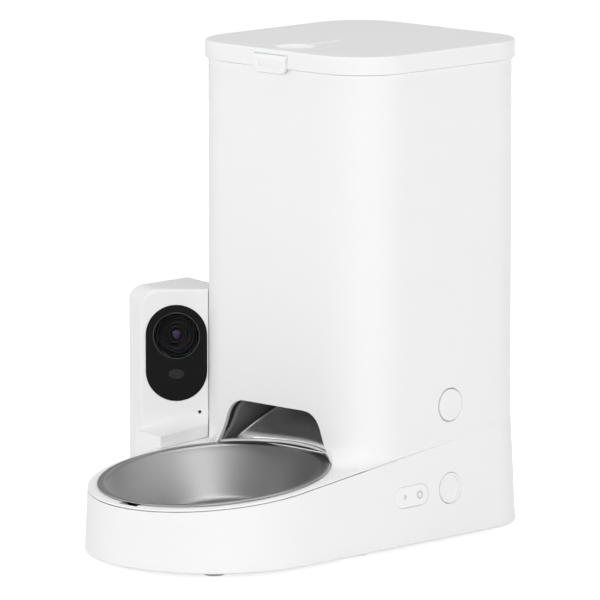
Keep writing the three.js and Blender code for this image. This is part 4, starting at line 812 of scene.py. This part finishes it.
# The bead's share of the ramp's half width
BEAD = 0.025


def build_chute():
    front = TOWER_FRONT + TOWER_WALL + 0.3
    roof = 92.5
    outer = join(
        prism_y(arch_points(CHUTE_WALL), front, CHUTE_BACK),
        block(-24.8, 24.8, 20, CHUTE_BACK, seam(TOWER_FRONT), roof),
    )
    inner = join(
        prism_y(arch_points(0), front - 2, 40.8),
        block(-23, 23, 21.8, 40.8, seam(TOWER_FRONT) + CHUTE_WALL, roof + 2),
    )
    shell = cut(outer, inner)
    floor = common(
        prism_y(arch_points(CHUTE_WALL), front, CHUTE_BACK),
        loft(tray_ring(0, 0.3), tray_ring(0, 2.1)),
    )
    return chute_room(join(shell, floor))


def chute_room(body):
    room = loft(tower_seam_ring(-TOWER_WALL - 0.3, -2), tower_ring(-TOWER_WALL - 0.3, BODY_HEIGHT))
    under = loft(base_ring(0.3, -2), tray_ring(0.3, 0.3))
    return cut(common(body, room), under, tray_disc(SEAT + LIP_WIDTH + 0.3, -29, 58))


def build_ramp():
    """The ramp down to the bowl: dished across, with a thin bead along both edges."""
    foot_y = BOWL_Y + SEAT + LIP_WIDTH
    reach = foot_y - BOWL_Y
    steps = 40

    def point(share, side, lower):
        risen = share**0.75
        x = (43 - 22 * risen) * side
        drop = (1.7 + 4.3 * share) * (1 - side**4)
        arc = (1 - share) * reach * (1 - math.cos(math.asin(x / reach)))
        y = foot_y - arc + (CHUTE_BACK - 0.9 - foot_y) * share
        low = seam(foot_y - arc) + 4
        from_edge = (1 - abs(side)) / BEAD
        bead = min(0.9, 6 * share) * math.sqrt(max(0.0, 1 - (2 * from_edge - 1) ** 2))
        return (x, y, low + (91.5 - low) * risen - drop + (-2 if lower else bead))

    across = [-1 + BEAD * (0.5 - 0.5 * math.cos(30 * i * DEG)) for i in range(6)]
    across += [(1 - BEAD) * (2 * i / steps - 1) for i in range(steps + 1)]
    across += [-side for side in across[5::-1]]
    rings = []
    for k in range(steps + 1):
        top = [point(k / steps, side, False) for side in across]
        bottom = [point(k / steps, side, True) for side in across]
        rings.append(top + bottom[::-1])
    return chute_room(loft(*rings))


place(build_chute(), "food_chute", "chute", sharp=30)
add_on(build_ramp(), "food_ramp", "chute", RAMP, 50)

# Lid


def lid_ring(grow, z):
    return tower_ring(LID_OVER + grow, z)


LATCH_FRONT = TOWER_FRONT - LID_OVER - 1.8
LATCH_Y = LATCH_FRONT + 3.3


def build_lid():
    rings = [lid_ring(-0.5, LID_LOW), lid_ring(-0.12, LID_LOW + 0.15), lid_ring(0, LID_LOW + 0.5)]
    rings += [lid_ring(0, LID_LOW + 4), lid_ring(0, BODY_HEIGHT - 4)]
    rings += arc_rings(lid_ring, 1.6, 8, at=BODY_HEIGHT)
    rings += [lid_ring(-6, BODY_HEIGHT + 0.001), lid_ring(-20, BODY_HEIGHT + 0.002)]
    body = loft(*rings)
    body = cut(body, loft(lid_ring(-LID_WALL, LID_LOW - 2), lid_ring(-LID_WALL, BODY_HEIGHT - 2.2)))
    dish_y = TOWER_FRONT + DISH_BACK
    cup = post_z(DISH_RADIUS + LID_WALL, 0, dish_y, BODY_HEIGHT - DISH_DEPTH - 2.2, BODY_HEIGHT - 1.1)
    profile = [(0, -DISH_DEPTH)]
    for i in range(1, 15):
        r = DISH_RADIUS * i / 15
        profile.append((r, -DISH_DEPTH * (1 - (r / DISH_RADIUS) ** 2) ** 0.3))
    profile += [(DISH_RADIUS - 0.3, -0.22), (DISH_RADIUS, -0.06), (DISH_RADIUS + 0.4, 0.01)]
    profile += [(DISH_RADIUS + 0.4, 2), (0, 2)]
    dish = moved(turned(profile, 128), Matrix.Translation((0, dish_y, BODY_HEIGHT)))
    ridge = [block(-0.4, 0.4, 11, 34, BODY_HEIGHT - 1, BODY_HEIGHT + 0.5)]
    ridge.append(post_z(0.9, 0, 34.5, BODY_HEIGHT - 1, BODY_HEIGHT + 0.6, 32))
    tab = join(
        block(-22, 22, TOWER_BACK + LID_OVER - 1.1, HINGE_Y, HINGE_Z, LID_LOW + 2.2),
        post_x(HINGE_RADIUS, -22, 22, HINGE_Y, HINGE_Z),
    )
    top = LATCH_Z + 3.7
    front = TOWER_FRONT - LID_OVER
    bosses = [
        block(x, x + 3, front + 0.75, LATCH_Y + 2.6, LATCH_Z - 2.6, top) for x in (14.6, -17.6)
    ]
    body = join(body, cup, tab, *bosses, *ridge)
    pocket = block(-14.6, 14.6, front - 2, LATCH_Y + 3.7, LID_LOW - 2, top)
    return cut(
        body,
        dish,
        post_x(HINGE_BORE, -24, 24, HINGE_Y, HINGE_Z, 32),
        pocket,
        post_x(LATCH_BORE, -17.2, 17.2, LATCH_Y, LATCH_Z, 24),
    )


def build_latch():
    low, half = LID_LOW - 3.3, 14.4

    def outline(inset):
        corner = 5 - inset
        left = arc_points(5 - half, low + 5, corner, 180, 270, 12)
        right = arc_points(half - 5, low + 5, corner, 270, 360, 12)
        return [(half - inset, LATCH_Z), (-half + inset, LATCH_Z)] + left + right

    layers = []
    for inset, y in ((0.5, 0), (0.15, 0.15), (0, 0.5), (0, 2.2)):
        layers.append([(x, LATCH_FRONT + y, z) for x, z in outline(inset)])
    plate = loft(*layers)
    nib = block(-half / 3, half / 3, LATCH_FRONT + 1.1, TOWER_FRONT - 0.3, low + 1.1, LID_LOW - 0.3)
    crown = common(
        post_x(3.5, -half, half, LATCH_Y, LATCH_Z, 96),
        block(-half, half, LATCH_FRONT - 1, LATCH_Y, LATCH_Z, BODY_HEIGHT),
    )
    body = join(plate, nib, post_x(2.6, -half, half, LATCH_Y, LATCH_Z, 48), crown)
    window = block(-9, 9, LATCH_FRONT - 2, LATCH_FRONT + 0.7, LATCH_Z - 4.2, LATCH_Z - 1.2)
    return cut(body, window, post_x(LATCH_BORE, -half - 2, half + 2, LATCH_Y, LATCH_Z, 24))


place(build_lid(), "lid_cover", "lid_shell", sharp=30)
place(build_latch(), "lid_catch", "lid_latch", sharp=30)

# Buttons and indicator panel


def build_button(face_x, y, z, radius, back, profile_face):
    foot = back - face_x
    profile = [(0, foot), (2, foot), (2, -2.6), (radius - 1.8, -2.6), (radius - 1.8, foot)]
    profile += [(radius + 1.5, foot), (radius + 1.5, foot + 1.5), (radius, foot + 1.5)]
    profile += profile_face
    return moved(turned(profile, 96), Matrix.Translation((face_x, y, z)) @ TO_X)


release_face = [(10.25, -0.7), (10.15, -0.3), (9.8, -0.05), (9.2, 0.03), (5, 0.05), (0, 0.05)]
release = build_button(79.1, RELEASE_Y, RELEASE_Z, 10.25, 73.9, release_face)
place(release, "release_cap", "release_button", sharp=35)
feed_face = [(9.9, -0.6), (9.8, -0.25), (9.5, 0), (8.5, 0.02), (8.1, -0.1), (7.95, -0.7)]
feed_face += [(7.7, -1.15), (7.1, -1.35), (4, -1.1), (0, -0.95)]
feed_x = BASE_HALF - DRAFT * FEED_Z + 0.25
feed = build_button(feed_x, FEED_Y, FEED_Z, 9.9, 67.7, feed_face)
place(feed, "feed_cap", "feed_button", sharp=35)

panel_piece = pill(0, -3, 0, 0.4)
led_hole = wall_disc([(0, -1.5), (1.45, -1.5), (1.45, 2), (0, 2)], LED_AT)
ring_hole = wall_disc([(1.45, -1.5), (2.75, -1.5), (2.75, 2), (1.45, 2)], HALO_AT)
panel_piece = cut(panel_piece, led_hole, ring_hole)
place(panel_piece, "indicator_plate", "indicator_panel", sharp=35)
led = wall_disc([(0, -1.2), (1.3, -1.2), (1.3, -0.15), (1.1, 0.05), (0, 0.12)], LED_AT)
place(led, "status_light", "status_lens", sharp=50)
halo = [(1.6, -1.2), (2.6, -1.2), (2.6, -0.1), (2.4, 0.06), (1.8, 0.06), (1.6, -0.1)]
halo = wall_disc(halo, HALO_AT)
place(halo, "ring_light", "ring_lens", sharp=50)

# Camera module


def panel_outline(grow, inset, right=-PANEL_WIDTH, steps=16):
    left = PANEL_WIDTH + grow - inset
    top = CAMERA_TOP - inset
    corner = 13 - 3 * grow / FRAME_OUT - inset
    points = [(right, -2), (left, -2)]
    points += arc_points(left - corner, top - corner, corner, 0, 90, steps)
    return points + [(right, top)]


def camera_block(inset, near):
    layers = []
    first = FRAME_OUT * near / FRAME_DEPTH
    rims = ((first, near),)
    if not inset:
        rims = ((first - 0.9, near), (first - 0.3, near + 0.25), (first, near + 0.8))
    for grow, depth in rims:
        layers.append([(u, v, depth) for u, v in panel_outline(grow, inset)])
    for i in range(1, 7):
        depth = near + (FRAME_DEPTH - near) * i / 6
        grow = FRAME_OUT * depth / FRAME_DEPTH
        layers.append([(u, v, depth) for u, v in panel_outline(grow, inset)])
    layers.append([(u, v, 96) for u, v in panel_outline(FRAME_OUT, inset)])
    return on_panel(loft(*layers))


def camera_plan(inset):
    """The plan behind the panel, its slanting back, and the rounded edge along its left side."""
    left = CAMERA_LEFT + inset

    def back(x):
        return 15.2 - inset - 10.7 * (x - CAMERA_LEFT) / (-CAMERA_LEFT - TOWER_HALF_X)

    points = [(left, CAMERA_FRONT), (CAMERA_RIGHT, CAMERA_FRONT)]
    points += [(CAMERA_RIGHT, back(CAMERA_RIGHT)), (left + 3, back(left + 3))]
    points += bend(points[-1], (left, back(left)), (left, back(left) - 3), 10)
    top, edge = CAMERA_TOP - inset, 8 - inset
    section = [(left, 2 + inset), (CAMERA_RIGHT, 2 + inset), (CAMERA_RIGHT, top)]
    section += arc_points(left + edge, top - edge, edge, 90, 180, 16)
    return common(prism(points, 0, 200), prism_y(section, CAMERA_FRONT, 20))


def tower_clear(grow):
    rings = [flare_ring(1, 0, grow, -4)]
    for i in range(10):
        rings.append(flare_ring(1 - math.sin(10 * i * DEG), 1 - math.cos(10 * i * DEG), grow, grow))
    return join(
        cut(loft(*rings), camera_side(grow)),
        loft(tower_seam_ring(grow, -4), tower_ring(grow, TOWER_TOP)),
        loft(base_ring(0.3, -2), tray_ring(0.3, 0.3)),
    )


def build_camera_housing():
    outer = common(camera_block(0, 2.5), camera_plan(0))
    inner = common(camera_block(CAMERA_WALL, 0.5), camera_plan(CAMERA_WALL))
    inner = cut(inner, tower_clear(2.7), loft(base_ring(2.5, -2), tray_ring(2.5, 2.5)))
    return cut(cut(outer, inner), tower_clear(0.5))


def foot_points(inset=0.0):
    along = PANEL @ Vector((PANEL_WIDTH - inset, 0, 1.1))
    return [
        (along.x, along.y),
        (along.x + inset, FOOT_FRONT + inset + (along.y - FOOT_FRONT) * 0.45),
        (-75.4 - inset, FOOT_FRONT + inset),
        (-68.0 - inset, -14.3),
        (PANEL_X - inset, PANEL_Y),
    ]


def sloped_top(lift):
    """All that lies under the seam's plane, raised by lift."""
    low = ring(FOOTPRINT, 300, lambda y: seam(y) - 300)
    return loft(low, ring(FOOTPRINT, 300, lambda y: seam(y) + lift))


def build_camera_front():
    layers = []
    for i in range(7):
        inset = 2 * (1 - math.sin(15 * i * DEG))
        depth = 2.2 * (1 - math.cos(15 * i * DEG))
        outline = panel_outline(0, inset, right=0)
        layers.append([(max(u, inset * 0.4), v, depth) for u, v in outline])
    plate = common(on_panel(loft(*layers)), camera_plan(0))

    def hollow_face(u):
        """A hollow from the foot's outer edge up to the panel, higher towards the tower."""
        out = 2.55 + 20.43 * u / 30.9 if u < 30.9 else 22.98 - 21.14 * (u - 30.9) / 16.3
        out = max(2.2, out) + 0.4
        plane = seam(PANEL_Y - u * math.sin(TURN)) + 8
        rise = max(1.5, 72 - 0.45 * max(0, u - 15) - plane)
        hollow = []
        for i in range(19):
            w = -out * (1 - math.sin(5 * i * DEG))
            v = plane + w * SEAM_SLOPE * math.cos(TURN) + rise * (1 - math.cos(5 * i * DEG))
            hollow.append((u, v, w))
        return [(u, 0, 1.1), (u, 0, -out)] + hollow + [(u, hollow[-1][1], 1.1)]

    stations = (-10, 0, 5, 10, 15, 20, 25, 30.9, 35, 40, PANEL_WIDTH, 50)
    wedge = on_panel(loft(*[hollow_face(u) for u in stations]))
    wedge = common(wedge, common(prism(foot_points(), 2, 170), sloped_top(22)))
    foot = common(prism(foot_points(), 2, 170), sloped_top(8))
    body = join(plate, foot, wedge)
    inside = prism(foot_points(CAMERA_WALL), 2 + CAMERA_WALL, 170)
    inside = common(inside, sloped_top(8 - CAMERA_WALL))
    inside = cut(inside, panel_half_space(-CAMERA_WALL, CAMERA_WALL))
    window_hole = window_shape(0.15, -2, 2.15)
    window_through = window_shape(-2, -2, 4.2)
    microphone_hole = [(0, -2), (1.3, -2), (1.1, 0.3), (1.1, 5), (0, 5)]
    microphone_hole = panel_turned(microphone_hole, 6, 70.5, 32)
    return cut(
        body,
        panel_half_space(CAMERA_WALL, 90),
        inside,
        tower_clear(0.5),
        window_hole,
        window_through,
        microphone_hole,
    )


def window_points(grow, steps=32):
    radius = WINDOW_RADIUS + grow
    upper = arc_points(LENS_U, WINDOW_V + WINDOW_STRAIGHT, radius, 0, 180, steps)
    return upper + arc_points(LENS_U, WINDOW_V - WINDOW_STRAIGHT, radius, 180, 360, steps)


def window_shape(grow, near, far):
    return panel_prism(window_points(grow), near, far)


def build_window():
    layers = []
    for grow, depth in ((-0.45, 0.15), (-0.12, 0.25), (0, 0.6), (0, 2)):
        layers.append([(u, v, depth) for u, v in window_points(grow)])
    body = on_panel(loft(*layers))
    lens_hole = panel_turned([(0, -2), (15.25, -2), (15.25, 4), (0, 4)], LENS_U, LENS_V)
    return cut(body, lens_hole, infrared_shape(0.15, -2, 1.1))


def infrared_points(grow, steps=64):
    return [
        (
            LENS_U + (5.1 + grow) * math.cos(2 * math.pi * i / steps),
            INFRARED_V + (3.3 + grow) * math.sin(2 * math.pi * i / steps),
        )
        for i in range(steps)
    ]


def infrared_shape(grow, near, far):
    return panel_prism(infrared_points(grow), near, far)


place(build_camera_housing(), "camera_back_shell", "camera_housing", sharp=28)
place(build_camera_front(), "camera_face", "camera_front", sharp=26)
place(build_window(), "camera_glass", "camera_window", sharp=35)
place(infrared_shape(0, 0.15, 0.95), "infrared_glass", "infrared_window", sharp=35)
trim = [(14.3, 0.8), (14.65, -0.1), (14.75, -0.25), (14.95, -0.25), (15.1, -0.1)]
trim += [(15.1, 1.75), (14.3, 1.75)]
place(panel_turned(trim, LENS_U, LENS_V), "lens_trim", "lens_ring", LENS_TRIM, sharp=40)
dome = [(0, 1.75), (14.15, 1.75)]
for i in range(30):
    dome.append((14.15 * math.cos(3 * i * DEG), 0.15 - 2.4 * math.sin(3 * i * DEG)))
dome.append((0, -2.25))
place(panel_turned(dome, LENS_U, LENS_V), "lens_glass", "lens_dome", sharp=60)

# The barrel's stepped cone, down to the small lens at its middle
barrel = [(0, 16.05), (13.4, 16.05), (13.4, 2.3), (13.2, 2.05), (12.2, 2.05), (12.0, 2.3)]
barrel += [(11.9, 3.1), (10.5, 3.3), (10.3, 3.5), (10.2, 4.3), (8.9, 4.5), (8.7, 4.7), (8.6, 5.5)]
barrel += [(7.3, 5.7), (7.1, 5.9), (7.0, 6.7), (5.3, 6.9), (5.1, 7.1), (5.0, 7.25)]
barrel += [(3.2, 7.25), (3.0, 7.45), (3.0, 8.05), (0, 8.05)]
place(panel_turned(barrel, LENS_U, LENS_V, 128), "lens_tube", "lens_barrel", LENS_TUBE, sharp=35)
beads = []
for radius, depth, width in ((11.9, 2.1, 0.2), (8.6, 4.55, 0.25), (4.7, 6.95, 0.4)):
    back_edge = depth + 0.35
    bead = [(radius - width, back_edge), (radius, depth - 0.3), (radius + width, back_edge)]
    beads.append(turned(bead, 128))
beads = on_panel(moved(join(*beads), Matrix.Translation((LENS_U, LENS_V, 0))))
add_on(beads, "lens_rings", "lens_barrel", LENS_RINGS, 50)
eye = [(0, 8.1), (2.9, 8.1), (2.9, 7.6)]
for i in range(1, 10):
    eye.append((2.9 * math.cos(9 * i * DEG), 7.6 - 1.3 * math.sin(9 * i * DEG)))
eye.append((0, 6.3))
add_on(panel_turned(eye, LENS_U, LENS_V, 64), "lens_eye", "lens_dome", LENS_EYE, 60)

# The other nodes keep their CAD shape and get their looks

shown = {n: o for n, o in frame["nodes"].items() if not o.hide_render}
for name, node in shown.items():
    node.data.materials.clear()
    node.data.materials.append(MATTE_BLACK if name == "microphone" else SLOT_LOOKS[node_slots[name]])

# Floor, light and camera

FLOOR_GLOW = 0.74
SKY = 0.33
MIDDLE = (0, 0, 0.15)
AIM_HEIGHT = 150.09


def any_ray(tree, first, *kinds):
    """1 for a ray of one of these kinds, 0 for the rest."""
    path = tree.nodes.new("ShaderNodeLightPath")
    found = path.outputs[first]
    for kind in kinds:
        either = tree.nodes.new("ShaderNodeMath")
        either.operation = "MAXIMUM"
        tree.links.new(found, either.inputs[0])
        tree.links.new(path.outputs[kind], either.inputs[1])
        found = either.outputs[0]
    return found


floor_mesh = bpy.data.meshes.new("floor")
floor_mesh.from_pydata([(-6, -6, 0), (6, -6, 0), (6, 6, 0), (-6, 6, 0)], [], [(0, 1, 2, 3)])
floor = bpy.data.objects.new("floor", floor_mesh)
bpy.context.scene.collection.objects.link(floor)
ground = bpy.data.materials.new("pale_floor")
ground.use_nodes = True
tree = ground.node_tree
shader = tree.nodes["Principled BSDF"]
shader.inputs["Base Color"].default_value = (0.82, 0.82, 0.82, 1)
shader.inputs["Roughness"].default_value = 0.8
shader.inputs["Specular IOR Level"].default_value = 0.1
seen = any_ray(tree, "Is Camera Ray", "Is Glossy Ray", "Is Transmission Ray")
glow = tree.nodes.new("ShaderNodeEmission")
glow.inputs["Color"].default_value = (1, 1, 1, 1)
lift = tree.nodes.new("ShaderNodeMath")
lift.operation = "MULTIPLY"
lift.inputs[1].default_value = FLOOR_GLOW
tree.links.new(seen, lift.inputs[0])
tree.links.new(lift.outputs[0], glow.inputs["Strength"])
both = tree.nodes.new("ShaderNodeAddShader")
tree.links.new(shader.outputs["BSDF"], both.inputs[0])
tree.links.new(glow.outputs["Emission"], both.inputs[1])
tree.links.new(both.outputs["Shader"], tree.nodes["Material Output"].inputs["Surface"])
floor_mesh.materials.append(ground)

world = bpy.data.worlds.new("studio")
bpy.context.scene.world = world
world.use_nodes = True
tree = world.node_tree
plain = tree.nodes["Background"]
plain.inputs["Color"].default_value = (1, 1, 1, 1)
plain.inputs["Strength"].default_value = SKY
white = tree.nodes.new("ShaderNodeBackground")
white.inputs["Color"].default_value = (1, 1, 1, 1)
white.inputs["Strength"].default_value = 1
seen = any_ray(tree, "Is Camera Ray", "Is Transmission Ray")
blend = tree.nodes.new("ShaderNodeMixShader")
tree.links.new(seen, blend.inputs["Fac"])
tree.links.new(plain.outputs["Background"], blend.inputs[1])
tree.links.new(white.outputs["Background"], blend.inputs[2])
tree.links.new(blend.outputs["Shader"], tree.nodes["World Output"].inputs["Surface"])


def area(name, place_at, power, size=(1.5, 1.3)):
    """A soft lamp that looks at the object's middle."""
    data = bpy.data.lights.new(name, "AREA")
    data.shape = "RECTANGLE"
    data.size, data.size_y = size
    data.energy = power
    lamp = bpy.data.objects.new(name, data)
    lamp.location = place_at
    lamp.rotation_mode = "QUATERNION"
    lamp.rotation_quaternion = (Vector(MIDDLE) - Vector(place_at)).to_track_quat("-Z", "Y")
    bpy.context.scene.collection.objects.link(lamp)


area("left_panel", (-2.078, -1.2, 0.75), 7)
area("front_panel", (-0.417, -2.364, 0.75), 15.4)
area("camera_panel", (1.697, -1.697, 0.75), 17.6)
area("right_panel", (2.255, 0.821, 0.75), 17)
area("back_panel", (-0.8, 2.263, 0.17), 6.5, (1.5, 0.3))
area("overhead", (0, 0, 2.3), 17.3)

azimuth, elevation, distance = 44.513 * DEG, 9.278 * DEG, 4.2419
aim = (Vector((0, 0, AIM_HEIGHT)) + SHIFT) * MM
back = Vector(
    (
        math.sin(azimuth) * math.cos(elevation),
        -math.cos(azimuth) * math.cos(elevation),
        math.sin(elevation),
    )
)
camera_data = bpy.data.cameras.new("camera")
camera_data.sensor_width = 36
camera_data.lens = 400.2
camera_data.clip_start = 0.1
camera_data.clip_end = 50
camera = bpy.data.objects.new("camera", camera_data)
camera.location = aim + back * distance
camera.rotation_mode = "QUATERNION"
camera.rotation_quaternion = (-back).to_track_quat("-Z", "Y")
bpy.context.scene.collection.objects.link(camera)
bpy.context.scene.camera = camera
bpy.context.scene.view_settings.view_transform = "Standard"
